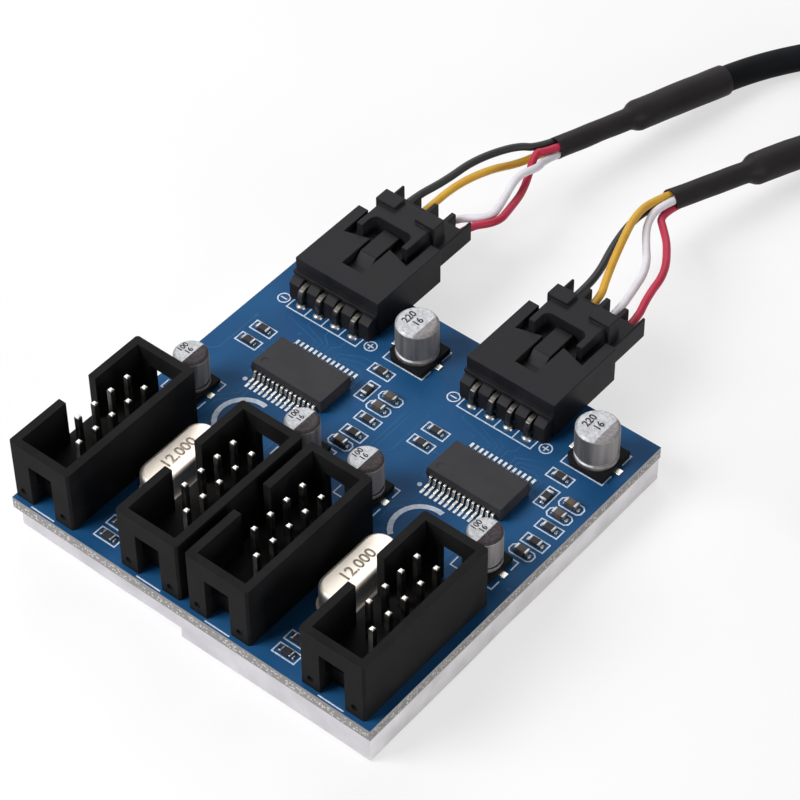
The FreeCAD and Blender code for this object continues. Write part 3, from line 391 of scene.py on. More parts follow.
maskBoard, maskTrack, foam = solderMaskBoard(), solderMaskTrack(), foamTape()
shroudBlack, nylonBlack, epoxyBlack = mouldedShroud(), mouldedNylon(), mouldedEpoxy()
tin, solder, nickel = tinPlate(), solderAlloy(), nickelCan()
# the sheared tips are painted bright as a painted highlight; the bent pins' upward bends are painted a dull
# grey as painted shade
shearedPin, bentPin = platedPinPaintedLight("shearedPin", "#cfccc5"), platedPinPaintedLight("bentPin", "#64625e")
canAluminium = {
    "small": drawnAluminium("drawnAluminiumSmall", ("#332e30", "#474042")),
    "large": drawnAluminium("drawnAluminiumLarge", ("#827d7f", "#979294")),
}
silkWhite = stencilInk("silkWhite", ("#b6c4d7", "#d6deea"))
canInk = stencilInk("canInk", ("#2b2829", "#3d393b"))
markInk = stencilInk("markInk", ("#ab9f90", "#bdb2a3"))
ceramic, jacket, shrink, strap = firedCeramic(), vinylJacket(), shrunkTube(), hookAndLoop()
wireVinyl = {
    "black": vinylWire("vinylBlack", ("#17191a", "#222526")),
    "yellow": vinylWire("vinylYellow", ("#c9972a", "#d8a93f")),
    "white": vinylWire("vinylWhite", ("#d8d5dc", "#e6e4ea")),
    "red": vinylWire("vinylRed", ("#a81f3a", "#ba304c")),
}
print("materials made")


# camera at the photograph's angle, soft light, pale floor

studio = {
    "camera": (143.78, -162.75, 246.24),
    "target": (-1.614, 12.387, 5.0),
    "roll": -0.54,  # degrees
    "lens": 135.43,
    "fill": 0.12,  # strength of the even light from all round
    "floor": ("#f1f0f2", "#f4f3f5"),
    "floorSize": 6.0,  # metres
    "floorDrop": 0.2,  # the paper lies this much under the foam, in mm
    "aim": (0, 10, 0),  # where the lamps point
    "floorLift": 0.65,  # share of plain white in what the camera sees of the floor near the part
    "floorFade": (150, 380),  # from here to here, in mm from the middle, the floor turns all white
    "lamps": (
        # place in mm, size in mm, power in W
        ((-190, -250, 300), 220, 1.9),  # key, front left
        ((-200, 250, 330), 300, 0.8),  # sheen on the upper faces, from behind
        ((600, -110, 170), 280, 1.48),  # low on the right, along the cut edges
    ),
}


def whenSeen(tree):
    # 1 for what the camera sees directly, in a reflection or through something
    path = addNode(tree, "LightPath").outputs
    both = addNode(tree, "Math", {0: path["Is Camera Ray"], 1: path["Is Glossy Ray"]}, operation="MAXIMUM")
    return addNode(tree, "Math", {0: both.outputs["Value"], 1: path["Is Transmission Ray"]},
                   operation="MAXIMUM").outputs["Value"]


def setCamera():
    data = bpy.data.cameras.new("camera")
    data.lens = studio["lens"]
    data.sensor_width = 36.0
    data.clip_start = 0.01
    camera = bpy.data.objects.new("camera", data)
    bpy.context.scene.collection.objects.link(camera)
    camera.location = point(*studio["camera"])
    aim = (point(*studio["target"]) - camera.location).to_track_quat("-Z", "Y")
    camera.rotation_euler = (aim @ Quaternion((0, 0, 1), math.radians(studio["roll"]))).to_euler()
    bpy.context.scene.camera = camera


def setLight():
    for number, (spot, size, power) in enumerate(studio["lamps"]):
        light = bpy.data.lights.new("softLamp%d" % number, "AREA")
        light.size = size * mm
        light.energy = power
        lamp = bpy.data.objects.new(light.name, light)
        bpy.context.scene.collection.objects.link(lamp)
        lamp.location = point(*spot)
        lamp.visible_camera = False
        facing = point(*studio["aim"]) - lamp.location
        lamp.rotation_euler = facing.to_track_quat("-Z", "Y").to_euler()
    world = bpy.data.worlds.new("studioWorld")
    world.use_nodes = True
    sky = world.node_tree.nodes["Background"]
    sky.inputs["Color"].default_value = (1, 1, 1, 1)
    strength = addNode(world.node_tree, "MapRange", {"Value": whenSeen(world.node_tree),
                                                     "To Min": studio["fill"], "To Max": 1.0})
    world.node_tree.links.new(strength.outputs["Result"], sky.inputs["Strength"])
    bpy.context.scene.world = world


def layFloor():
    clearSelection()
    bpy.ops.mesh.primitive_plane_add(size=studio["floorSize"], location=point(0, 0, -studio["floorDrop"]))
    floor = bpy.context.object
    floor.name = "floor"
    settle(floor)
    material, tree, shader, place = startMaterial("floorPaper", Specular_IOR_Level=0.05)
    tintAndGrain(tree, shader, place, studio["floor"], 30.0, 2.0, 0.02, (0.88, 0.92))
    glow = addNode(tree, "Emission", {"Color": (1, 1, 1, 1), "Strength": 1.0})
    reach = addNode(tree, "VectorMath", {0: place.outputs["Object"]}, operation="LENGTH").outputs["Value"]
    near, far = studio["floorFade"]
    white = addNode(tree, "MapRange", {"Value": reach, "From Min": near * mm, "From Max": far * mm,
                                       "To Min": studio["floorLift"], "To Max": 1.0},
                    interpolation_type="SMOOTHSTEP").outputs["Result"]
    lift = addNode(tree, "Math", {0: whenSeen(tree), 1: white}, operation="MULTIPLY")
    mix = addNode(tree, "MixShader", {0: lift.outputs["Value"], 1: shader.outputs["BSDF"],
                                      2: glow.outputs["Emission"]})
    tree.links.new(mix.outputs["Shader"], tree.nodes["Material Output"].inputs["Surface"])
    floor.data.materials.append(material)


bpy.context.scene.view_settings.view_transform = "Standard"
setCamera()
setLight()
layFloor()
print("studio set")


# cords first: the routes repeat those of the part's source, in millimetres, with the wires' middle points
# moved a little to lie where the photograph shows them

cordSizes = {"wire": 0.95, "cable": 3.35}
coil = {
    "centre": (34.6, 90.8),
    "layer": 3.7,
    "radius": {"left": 20.7, "right": 17.3},
    "angles": (95.0, -60.0, -158.0, -360.0),  # start, climb, upper layer, end
    "steps": 20,
    "lead": {"left": 9.5, "right": 5.2},
    "straight": 4.0,  # run straight out of the sleeve
}
wireRun = {
    "start": 29.8,  # inside the plug
    "plugBack": 36.5,
    "height": 7.3,
    "spread": 0.5,  # off the bundle's middle, in the sleeve
    "before": 2.0,  # straight before the sleeve's mouth
    "inside": 5.0,  # and on into it
}
sleeveEnds = {
    "left": ((-12.75, 55.1, 6.0), (-6.6, 81.5, 2.35)),
    "right": ((3.2, 56.3, 6.0), (11.3, 83.6, 2.35)),
}
bundleSeats = {
    "left": {"black": (-1, 1), "yellow": (-1, -1), "white": (1, -1), "red": (1, 1)},
    "right": {"black": (-1, -1), "yellow": (-1, 1), "white": (1, 1), "red": (1, -1)},
}
wireMiddles = {
    "blackLeft": [(-18.2, 40.9, 7.7), (-17.6, 45.8, 8.0), (-15.7, 51.4, 7.4)],
    "yellowLeft": [(-16.9, 41.5, 7.5), (-15.7, 46.3, 7.2), (-14.8, 50.5, 5.6)],
    "whiteLeft": [(-10.4, 39.6, 7.2), (-11.0, 42.6, 7.3), (-12.2, 47.1, 7.8), (-11.4, 50.1, 7.2)],
    "redLeft": [(-9.4, 39.8, 7.1), (-10.0, 42.7, 6.7), (-11.3, 47.4, 5.8), (-13.6, 52.3, 7.0)],
    "blackRight": [(4.6, 40.6, 7.0), (2.9, 45.6, 6.5), (1.6, 51.0, 5.6)],
    "yellowRight": [(6.2, 39.9, 8.0), (4.6, 44.5, 8.4), (2.7, 50.0, 8.0)],
    "whiteRight": [(9.5, 40.1, 7.2), (8.4, 44.7, 6.9), (5.4, 48.5, 6.6), (3.7, 51.1, 6.5)],
    "redRight": [(11.3, 40.7, 7.3), (10.6, 45.1, 7.2), (7.8, 49.4, 6.5), (5.9, 51.6, 5.8)],
}
cableMiddles = {
    "left": [(-2.4, 91.3, 1.7), (3.8, 99.6, 1.7), (13.2, 106.0, 1.7)],
    "right": [(15.0, 94.5, 1.7), (20.7, 103.9, 1.7)],
}
farRuns = {
    "left": [(55.3, 82.6, 5.375), (55.4, 75.4, 5.6), (55.45, 69.0, 5.0), (55.6, 63.5, 4.8)],
    "right": [(51.9, 82.6, 5.375), (51.7, 75.4, 5.6), (51.4, 69.0, 3.9), (51.3, 63.5, 3.5)],
}


def cordCurve(name, route, diameter):
    # a NURBS line with the route's points as its control points, and a round section
    data = bpy.data.curves.new(name, "CURVE")
    data.dimensions = "3D"
    data.bevel_depth = diameter / 2 * mm
    data.bevel_resolution = 6
    data.resolution_u = 10
    data.use_fill_caps = True
    spline = data.splines.new("NURBS")
    spline.points.add(len(route) - 1)
    for dot, (x, y, z) in zip(spline.points, route):
        dot.co = (x * mm, y * mm, z * mm, 1.0)
    spline.order_u = 3
    spline.use_endpoint_u = True
    curve = bpy.data.objects.new(name, data)
    bpy.context.scene.collection.objects.link(curve)
    return curve


def lineLength(curve):
    # length of the spline itself, from a copy with no section
    bare = curve.copy()
    bare.data = curve.data.copy()
    bare.data.bevel_depth = 0.0
    mesh = bpy.data.meshes.new_from_object(bare)
    dots = mesh.vertices
    total = sum((dots[a].co - dots[b].co).length for a, b in (edge.vertices for edge in mesh.edges))
    bpy.data.objects.remove(bare)
    bpy.data.meshes.remove(mesh)
    return total


def sleeveAxes(side):
    mouth, end = (Vector(spot) for spot in sleeveEnds[side])
    heading = (end - mouth).normalized()
    across = heading.cross(Vector((0, 0, 1))).normalized()
    return mouth, end, heading, across, across.cross(heading)


def makeWires(side):
    mouth, _, heading, across, up = sleeveAxes(side)
    for colour, offset in wireOffsets.items():
        right, above = bundleSeats[side][colour]
        seat = mouth + across * right * wireRun["spread"] + up * above * wireRun["spread"]
        x = socketX[side] + offset
        route = [(x, wireRun["start"], wireRun["height"]), (x, wireRun["plugBack"], wireRun["height"])]
        route += wireMiddles[colour + side.capitalize()]
        route += [tuple(seat - heading * wireRun["before"]), tuple(seat + heading * wireRun["inside"])]
        wire = cordCurve("%sWire%s" % (colour, side.capitalize()), route, cordSizes["wire"])
        ridesAs(wire, wireVinyl[colour], "wire_" + colour, "wire_%s_%s" % (colour, side))
        lineLength(wire)


def coilPoint(side, angle):
    _, climb, lift, _ = coil["angles"]
    share = min(1.0, max(0.0, (climb - angle) / (climb - lift)))
    radius = coil["radius"][side]
    x, y = coil["centre"]
    turn = math.radians(angle)
    height = cordSizes["cable"] / 2 + share * coil["layer"]
    return (x + radius * math.cos(turn), y + radius * math.sin(turn), height)


def makeCable(side):
    _, end, heading, _, _ = sleeveAxes(side)
    start, _, _, last = coil["angles"]
    first = Vector(coilPoint(side, start))
    arriving = Vector((math.sin(math.radians(start)), -math.cos(math.radians(start)), 0))
    route = [tuple(end), tuple(end + heading * coil["straight"])] + cableMiddles[side]
    route.append(tuple(first - arriving * coil["lead"][side]))
    turns = [start + (last - start) * step / coil["steps"] for step in range(coil["steps"] + 1)]
    route += [coilPoint(side, angle) for angle in turns]
    route += farRuns[side]
    cable = cordCurve("cable" + side.capitalize(), route, cordSizes["cable"])
    ridesAs(cable, jacket, "jacket_black", "cable_" + side, "cable_%s_end" % side)
    return cable, route


cables = {}
for side in ("left", "right"):
    makeWires(side)
    cables[side] = makeCable(side)
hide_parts("cable_coil")
print("wires and cables laid")


# tie round the coil: a strap with a lapped end

tie = {
    "angle": 45.0,
    "middle": 19.0,  # from the coil's centre
    "radial": 7.6,
    "height": 7.5,
    "width": 5.0,
    "round": 1.6,
    "thick": 0.45,
    "lap": 0.55,  # of the lapped end, as a share of the radial size
    "edge": 0.1,
}


def makeTie():
    turn = math.radians(tie["angle"])
    x, y = coil["centre"]
    spot = point(x + tie["middle"] * math.cos(turn), y + tie["middle"] * math.sin(turn), tie["height"] / 2)
    clearSelection()
    bpy.ops.mesh.primitive_cube_add(size=1.0)
    band = bpy.context.object
    band.scale = point(tie["radial"], tie["width"], tie["height"])
    settle(band)
    # the two ends come off, and the four long edges are rounded
    selectFaces(band, lambda face: abs(face.normal.y) > 0.9)
    bpy.ops.mesh.delete(type="ONLY_FACE")
    leaveEdit()
    for edge in band.data.edges:
        a, b = (band.data.vertices[v].co for v in edge.vertices)
        edge.select = abs(a.y - b.y) > 0.5 * tie["width"] * mm
    bpy.ops.object.mode_set(mode="EDIT")
    bpy.ops.mesh.select_mode(type="EDGE")
    bpy.ops.mesh.bevel(offset=tie["round"] * mm, segments=5, affect="EDGES")
    leaveEdit()
    applyModifier(band, "SOLIDIFY", thickness=tie["thick"] * mm, offset=-1.0)
    # the lapped end lies on top of the loop
    clearSelection()
    bpy.ops.mesh.primitive_cube_add(size=1.0, location=point(0, 0, (tie["height"] + tie["thick"]) / 2))
    tab = bpy.context.object
    tab.scale = point(tie["lap"] * tie["radial"], tie["width"], tie["thick"])
    settle(tab)
    loop = joinPieces("coilTie", [band, tab])
    applyModifier(loop, "BEVEL", width=tie["edge"] * mm, segments=2, limit_method="ANGLE",
                  angle_limit=math.radians(50))
    loop.rotation_euler.z = turn
    loop.location = spot
    settle(loop)
    smooth(loop, 40)
    return ridesAs(loop, strap, "sleeve_black")


coilTie = makeTie()


# far end of the cables: sleeves, eight wires and the keyed plug

farEnd = {
    "x": 54.1,
    "back": 40.0,
    "wireEnd": 37.0,
    "thick": 5.6,
    "pitch": 2.54,
    "bundle": 1.25,
    "sleeve": 12.0,
    "straight": 3.0,  # run straight out of the sleeve
    "nearer": 2.0,  # the wires' middle points lie nearer to the plug by this
}
farColours = ("red", "white", "yellow", "black")


def makeFarWires(side, level):
    start, before = Vector(farRuns[side][-1]), Vector(farRuns[side][-2])
    heading = (start - before).normalized()
    end = start + heading * farEnd["sleeve"]
    across = heading.cross(Vector((0, 0, 1))).normalized()
    up = across.cross(heading)
    z = farEnd["thick"] / 2 + level * farEnd["pitch"] / 2
    wires = []
    for number, (right, above) in enumerate(((1, 1), (1, -1), (-1, -1), (-1, 1))):
        x = farEnd["x"] + (number - 2) * farEnd["pitch"]
        seat = end + (across * right + up * above) * farEnd["bundle"] / 2
        middleY = (seat.y + farEnd["back"]) / 2 - farEnd["nearer"]
        route = [tuple(seat), tuple(seat + heading * farEnd["straight"])]
        route += [(x, middleY, z), (x, farEnd["wireEnd"], z)]
        wire = cordCurve("farWire%s%d" % (side.capitalize(), number), route, cordSizes["wire"])
        colour = farColours[number]
        ridesAs(wire, wireVinyl[colour], "wire_" + colour)
        wires.append(wire)
    return wires


farWires = {"left": makeFarWires("left", 1), "right": makeFarWires("right", -1)}
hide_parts("far_wires")
farSleeves = dressNode("far_sleeves", shrink, "sleeve_black", 0.25, 3)
farPlug = dressNode("motherboard_plug", shroudBlack, "plastic_black", 0.15)
farCrimps = dressNode("motherboard_terminals", tin, "tinned_metal", 0.05, 1)
for side, (cable, route) in cables.items():
    lineLength(cable)
print("far end made")


# shrunk sleeves over the wires: a tube drawn out ring by ring, thin over the wires, thick over the jacket

sleeve = {"thin": 2.7, "thick": 3.9, "thinLength": 11.5, "taper": 1.6, "bore": 2.4, "boreDepth": 5.0,
          "ring": 1.1, "thinRings": 10, "sides": 28, "pucker": 0.07, "puckerLength": 3.0, "edge": 0.12}


def makeSleeve(side):
    mouth, end, heading, _, _ = sleeveAxes(side)
    length = (end - mouth).length
    clearSelection()
    bpy.ops.mesh.primitive_circle_add(vertices=sleeve["sides"], radius=sleeve["thin"] / 2 * mm,
                                      fill_type="NGON")
    tube = bpy.context.object
    tube.name = "sleeve" + side.capitalize()
    bpy.ops.object.mode_set(mode="EDIT")
    thinRings = sleeve["thinRings"]
    stops = [sleeve["thinLength"] * step / thinRings for step in range(1, thinRings + 1)]
    stops += [sleeve["thinLength"] + sleeve["taper"] * share for share in (0.3, 0.7, 1.0)]
    thickRings = round((length - stops[-1]) / sleeve["ring"])
    stops += [stops[-1] + (length - stops[-1]) * step / thickRings for step in range(1, thickRings + 1)]
    done, width = 0.0, sleeve["thin"]
    for stop in stops:
        share = min(1.0, max(0.0, (stop - sleeve["thinLength"]) / sleeve["taper"]))
        wanted = sleeve["thin"] + (sleeve["thick"] - sleeve["thin"]) * share * share * (3 - 2 * share)
        bpy.ops.mesh.extrude_region_move(TRANSFORM_OT_translate={"value": (0, 0, (stop - done) * mm)})
        grow = wanted / width
        bpy.ops.transform.resize(value=(grow, grow, 1), center_override=(0, 0, stop * mm))
        done, width = stop, wanted
    bpy.ops.mesh.select_all(action="SELECT")
    bpy.ops.mesh.normals_make_consistent(inside=False)
    # the open mouth
    selectFaces(tube, lambda face: face.center.z < 1e-7 and abs(face.normal.z) > 0.9)
    bpy.ops.mesh.inset(thickness=(sleeve["thin"] - sleeve["bore"]) / 2 * mm)
    bpy.ops.mesh.extrude_region_move(TRANSFORM_OT_translate={"value": (0, 0, sleeve["boreDepth"] * mm)})
    leaveEdit()
    for vertex in tube.data.vertices:
        # slow puckers where the tube gripped unevenly
        spot = Vector((vertex.co.x, vertex.co.y, 0))
        if spot.length > sleeve["bore"] / 2 * 1.02 * mm:
            dent = noise.noise(vertex.co / (sleeve["puckerLength"] * mm) + mouth)
            vertex.co += spot.normalized() * dent * sleeve["pucker"] * mm
    applyModifier(tube, "BEVEL", width=sleeve["edge"] * mm, segments=2, limit_method="ANGLE",
                  angle_limit=math.radians(60))
    tube.rotation_euler = heading.to_track_quat("Z", "Y").to_euler()
    tube.location = mouth * mm
    settle(tube)
    smooth(tube, 50)
    return ridesAs(tube, shrink, "sleeve_black", "heat_shrink_" + side)


for side in ("left", "right"):
    makeSleeve(side)
print("sleeves shrunk on")


# board and its foam

foamSizes = {
    "left": {"x": (-24.9, -1.1), "y": (-23.95, 24.75)},
    "right": {"x": (-0.9, 24.9), "y": (-24.75, 24.75)},
    "height": 3.4,
    "wave": 0.2,
    "waveLength": 7.0,
    "cuts": 40,
    "near": 1e-3,  # a point this near to a side belongs to it
}


def makeFoam(side):
    (x0, x1), (y0, y1) = foamSizes[side]["x"], foamSizes[side]["y"]
    height = foamSizes["height"]
    clearSelection()
    bpy.ops.mesh.primitive_cube_add(size=1.0, location=point((x0 + x1) / 2, (y0 + y1) / 2, height / 2))
    pad = bpy.context.object
    pad.name = "foamPad" + side.capitalize()
    pad.scale = point(x1 - x0, y1 - y0, height)
    settle(pad)
    editAll(pad)
    bpy.ops.mesh.subdivide(number_cuts=foamSizes["cuts"])
    leaveEdit()
    for vertex in pad.data.vertices:
        # the knife wandered, so each side pulls in by a slowly varying amount
        spot = vertex.co / mm
        wander = 0.5 + 0.5 * noise.noise(Vector((spot.x, spot.y, spot.z * 1.6)) / foamSizes["waveLength"])
        pull = foamSizes["wave"] * wander
        if min(abs(spot.x - x0), abs(spot.x - x1)) < foamSizes["near"]:
            spot.x += pull if spot.x < (x0 + x1) / 2 else -pull
        if min(abs(spot.y - y0), abs(spot.y - y1)) < foamSizes["near"]:
            spot.y += pull if spot.y < (y0 + y1) / 2 else -pull
        vertex.co = spot * mm
    smooth(pad, 40)
    return ridesAs(pad, foam, "foam_white", "foam_pad_" + side)


for side in ("left", "right"):
    makeFoam(side)
dressNode("pcb", maskBoard, "board_blue", 0.05, 1)
print("board and foam made")


# shrouded headers, chips, crystals, capacitors and plugs

canPlaces = (
    ("small", -20.8, -0.3), ("small", -4.75, -0.3), ("small", 4.15, -0.3), ("small", 20.2, -0.3),
    ("large", -4.45, 18.9), ("large", 20.45, 18.9),
)
canSizes = {
    # can and base across, printed outline, and how far off centre the dark print starts
    "small": {"can": 4.0, "base": 4.3, "outline": (5.6, 4.8), "print": 0.3},
    "large": {"can": 5.0, "base": 5.3, "outline": (5.7, 5.5), "print": 1.1},
    "top": 10.4,
}


def markPrintEdge(can, edge):
    # how far each point lies past the print's edge, in millimetres
    past = can.data.attributes.new("pastPrintEdge", "FLOAT", "POINT")
    past.data.foreach_set("value", [vertex.co.x / mm - edge for vertex in can.data.vertices])


for number in range(1, 5):
    dressNode("box_header_%d" % number, shroudBlack, "plastic_black", 0.12)
    dressNode("header_pins_%d" % number, shearedPin, "pin_plated", 0.05)
for side in ("left", "right"):
    dressNode("hub_chip_" + side, epoxyBlack, "chip_black", 0.07)
    dressNode("hub_chip_leads_" + side, tin, "tinned_metal", 0.03, 1)
    dressNode("crystal_can_" + side, nickel, "can_steel", 0.06)
    dressNode("wire_header_" + side, nylonBlack, "plastic_black", 0.1)
    dressNode("wire_header_pins_" + side, bentPin, "tinned_metal", 0.06)
    dressNode("wire_plug_" + side, nylonBlack, "plastic_black", 0.12)
dressNode("plug_terminals", tin, "tinned_metal", 0.04, 1)
dressNode("crystal_leads", tin, "tinned_metal", 0.03, 1)
for number, (kind, x, y) in enumerate(canPlaces, 1):
    can = dressNode("capacitor_can_%d" % number, canAluminium[kind], "can_aluminium", 0.08)
    markPrintEdge(can, x + canSizes[kind]["print"])
    dressNode("capacitor_base_%d" % number, shroudBlack, "chip_black", 0.06)
dressNode("capacitor_leads", tin, "tinned_metal", 0.03, 1)
dressNode("chip_resistors", epoxyBlack, "chip_black", 0.03, 1)
dressNode("chip_capacitors", ceramic, "ceramic_tan", 0.05)
dressNode("chip_ends", solder, "tinned_metal", 0.05)
print("components dressed")


# solder pads and fillets

chipPlaces = (
    # kind, x, y, turned a quarter, on the left half
    ("resistor", -20.5, 11.15, False), ("resistor", -20.6, 8.75, False), ("resistor", -5.9, 14.35, False),
    ("resistor", -5.3, 11.15, True), ("capacitor", -2.45, 11.8, False), ("capacitor", -2.6, 9.85, False),
    ("resistor", -2.4, 7.8, False), ("resistor", -2.35, 5.3, False), ("capacitor", -2.6, 3.35, False),
    ("resistor", -13.1, -20.4, False), ("resistor", -13.0, -22.4, False),
)
hubChip = {"x": -12.0, "y": 7.8, "leads": 14, "pitch": 0.65, "padRow": 3.72, "pad": (0.34, 1.85)}
padHeight = 0.04
beadCut = 1e-7  # metres; the operator's own threshold is nearly as large as a bead, and cuts it unevenly
solderSizes = {
    # width, depth and height of each bead, and how far out each pad and bead sits
    "chipBead": (0.5, 0.72, 0.26),
    "strapBead": (0.4, 0.6, 0.14),
    "pinBead": (1.5, 1.5, 0.45),
    "strapPad": (0.8, 0.8),
    "chipEnd": 0.92,
    "strapPadOut": 0.3,
    "strapBeadOut": 0.4,
    "pinRow": 16.75,
}


def padPlate(name, width, depth):
    # a tinned plate with softened upper edges, standing on the board at the origin
    clearSelection()
    bpy.ops.mesh.primitive_plane_add(size=1.0, location=point(0, 0, boardTop))
    plate = bpy.context.object
    plate.name = name
    plate.scale = (width * mm, depth * mm, 1)
    settle(plate)
    editAll(plate)
    bpy.ops.mesh.extrude_region_move(TRANSFORM_OT_translate={"value": (0, 0, padHeight * mm)})
    bpy.ops.mesh.bevel(offset=0.25 * padHeight * mm, segments=1, affect="EDGES")
    bpy.ops.mesh.select_all(action="SELECT")
    bpy.ops.mesh.normals_make_consistent(inside=False)
    leaveEdit()
    return plate


def solderBead(name, width, depth, height):
    # a half bead of solder, cut off flat at the board
    clearSelection()
    bpy.ops.mesh.primitive_uv_sphere_add(segments=12, ring_count=8, location=point(0, 0, boardTop))
    bead = bpy.context.object
    bead.name = name
    bead.scale = point(width / 2, depth / 2, height)
    settle(bead)
    editAll(bead)
    bpy.ops.mesh.bisect(plane_co=point(0, 0, boardTop), plane_no=(0, 0, 1), clear_inner=True, use_fill=True,
                        threshold=beadCut)
    leaveEdit()
    smooth(bead, 50)
    return bead


def makeSolder():
    leadPad = padPlate("leadPad", *hubChip["pad"])
    strapPad = padPlate("strapPad", *solderSizes["strapPad"])
    beads = ("chipBead", "strapBead", "pinBead")
    chipBead, strapBead, pinBead = (solderBead(name, *solderSizes[name]) for name in beads)
    copies = []
    for step in (0.0, halfStep):
        for row in (-1, 1):
            y = hubChip["y"] + row * hubChip["padRow"]
            for lead in range(hubChip["leads"]):
                x = hubChip["x"] + step + (lead - (hubChip["leads"] - 1) / 2) * hubChip["pitch"]
                copies.append(copyAt(leadPad, x, y))
        for _, x, y, turned in chipPlaces:
            for end in (-solderSizes["chipEnd"], solderSizes["chipEnd"]):
                dx, dy = (0, end) if turned else (end, 0)
                copies.append(copyAt(chipBead, x + step + dx, y + dy, 90.0 if turned else 0.0))
    for kind, x, y in canPlaces:
        for end in (-1, 1):
            reach = end * canSizes[kind]["base"] / 2
            copies.append(copyAt(strapPad, x + reach + end * solderSizes["strapPadOut"], y))
            copies.append(copyAt(strapBead, x + reach + end * solderSizes["strapBeadOut"], y))
    for x in socketX.values():
        copies += [copyAt(pinBead, x + offset, solderSizes["pinRow"]) for offset in wireOffsets.values()]
    dropAll([leadPad, strapPad, chipBead, strapBead, pinBead])
    return ridesAs(joinPieces("solderJoints", copies), solder, "tinned_metal")


makeSolder()
print("solder joints made")


# flat work on the board: masked tracks, and the white screen print over them

inkHeight = 0.02
inkStep = 0.004  # where flat strips cross, one lies this much higher
silk = {
    "line": 0.16,
    "lift": 0.03,
    "bold": 0.62,  # stroke of the arc
    "arc": (-13.0, -0.85, 3.2, 80, 232),  # middle, radius, first and last angle
    "sign": (0.8, 0.36),  # ring's radius, and half a stroke
    "minus": (-6.2, 16.45),
    "plus": (6.4, 16.7),
    "combHalf": 5.1,  # the comb of lines between the wire header's pins
    "combY": (15.6, 18.3),
    "combTeeth": 5,
    "combPitch": 2.54,
    "chipFrame": (3.1, 1.55),
    "chipCorner": 0.4,
    "pinOne": (-17.04, 4.08, 0.28),  # dot by the hub chip's first lead
    "canGap": 1.0,  # half the gap in a can's outline, where its terminals lie
    "bars": (-20.6, -5.35, 4.25, 19.55),  # short lines in front of the shrouds
    "barHalf": 1.6,
    "barY": -24.5,
}
track = {
    "width": 0.18,
    "lift": 0.002,
    "via": 0.26,
    "reach": 24.5,  # the right half's tracks and vias stop here, short of the board's edge
    "viaReach": 24.4,
}
trackRoutes = (
    # left half; from the wire header's pins to the chip, from the chip to the headers, along the edges
    ((-19.6, 15.4), (-19.6, 14.6), (-14.6, 13.4), (-14.6, 12.6)),
    ((-17.1, 15.4), (-17.1, 14.8), (-13.95, 13.8), (-13.95, 12.6)),
    ((-14.5, 15.4), (-14.5, 14.8), (-13.3, 13.9), (-13.3, 12.6)),
    ((-12.0, 15.4), (-12.0, 14.4), (-12.65, 13.8), (-12.65, 12.6)),
    ((-11.35, 12.6), (-11.35, 13.6), (-8.9, 14.9), (-7.3, 14.9)),
    ((-10.7, 12.6), (-10.7, 13.2), (-8.6, 14.0), (-7.4, 14.0)),
    ((-10.05, 12.6), (-10.05, 12.9), (-8.2, 13.1), (-7.0, 12.4), (-7.0, 9.6)),
    ((-16.2, 3.0), (-16.2, 2.0), (-18.0, 0.2), (-18.0, -3.6)),
    ((-15.55, 3.0), (-15.55, 1.6), (-17.4, -0.3), (-17.4, -3.6)),
    ((-9.4, 3.0), (-9.4, 1.7), (-8.3, 0.6), (-8.3, -3.6)),
    ((-8.75, 3.0), (-8.75, 2.1), (-7.7, 1.0), (-7.7, -3.6)),
    ((-8.1, 3.0), (-8.1, 2.5), (-7.1, 1.5), (-7.1, 0.4)),
    ((-22.6, 12.4), (-22.6, 6.0), (-23.6, 5.0), (-23.6, 2.4)),
    ((-18.9, 8.75), (-17.9, 8.75), (-17.4, 8.2), (-17.4, 5.4)),
    ((-0.6, 16.0), (-0.6, 13.4), (0.1, 12.7), (0.1, 2.6), (-0.6, 1.9), (-0.6, -1.5)),
    ((0.0, 16.0), (0.0, 13.7), (0.7, 13.0), (0.7, 2.4)),
)
viaPlaces = ((-7.3, 14.9), (-7.4, 14.0), (-7.0, 9.6), (-7.1, 0.4), (-22.6, 12.4), (-17.4, 5.4), (0.7, 2.4),
             (-0.6, -1.5), (-23.6, 2.4), (-6.6, 6.8), (-16.9, 13.2))


def flatBar(x0, y0, x1, y1, width, lift):
    start, end = Vector((x0, y0)), Vector((x1, y1))
    middle, along = (start + end) / 2, end - start
    clearSelection()
    bpy.ops.mesh.primitive_plane_add(size=1.0, location=point(*middle, boardTop + lift),
                                     rotation=(0, 0, math.atan2(along.y, along.x)))
    bar = bpy.context.object
    bar.scale = ((along.length + width) * mm, width * mm, 1)
    settle(bar)
    return bar


def flatLine(corners, width, lift):
    runs = enumerate(zip(corners, corners[1:]))
    return [flatBar(*a, *b, width, lift + number % 2 * inkStep) for number, (a, b) in runs]


def flatDisc(x, y, radius, lift):
    clearSelection()
    bpy.ops.mesh.primitive_circle_add(vertices=28, radius=radius * mm, fill_type="NGON",
                                      location=point(x, y, boardTop + lift))
    disc = bpy.context.object
    settle(disc)
    return disc


def flatPlate(x, y, width, depth, lift, corner=0.0):
    clearSelection()
    bpy.ops.mesh.primitive_plane_add(size=1.0, location=point(x, y, boardTop + lift))
    plate = bpy.context.object
    plate.scale = (width * mm, depth * mm, 1)
    settle(plate)
    if corner:
        editAll(plate)
        bpy.ops.mesh.bevel(offset=corner * mm, segments=1, affect="VERTICES")
        leaveEdit()
    return plate


def keepRim(patch, line):
    # only a line round the patch's edge is left
    editAll(patch)
    bpy.ops.mesh.inset(thickness=line * mm)
    bpy.ops.mesh.delete(type="FACE")
    leaveEdit()
    return patch


def cutAway(patch, x, y, degrees):
    # takes off what lies on the near side of a line through x, y
    turn = math.radians(degrees)
    editAll(patch)
    facing = (math.cos(turn), math.sin(turn), 0)
    bpy.ops.mesh.bisect(plane_co=point(x, y, 0), plane_no=facing, clear_inner=True)
    leaveEdit()
    return patch


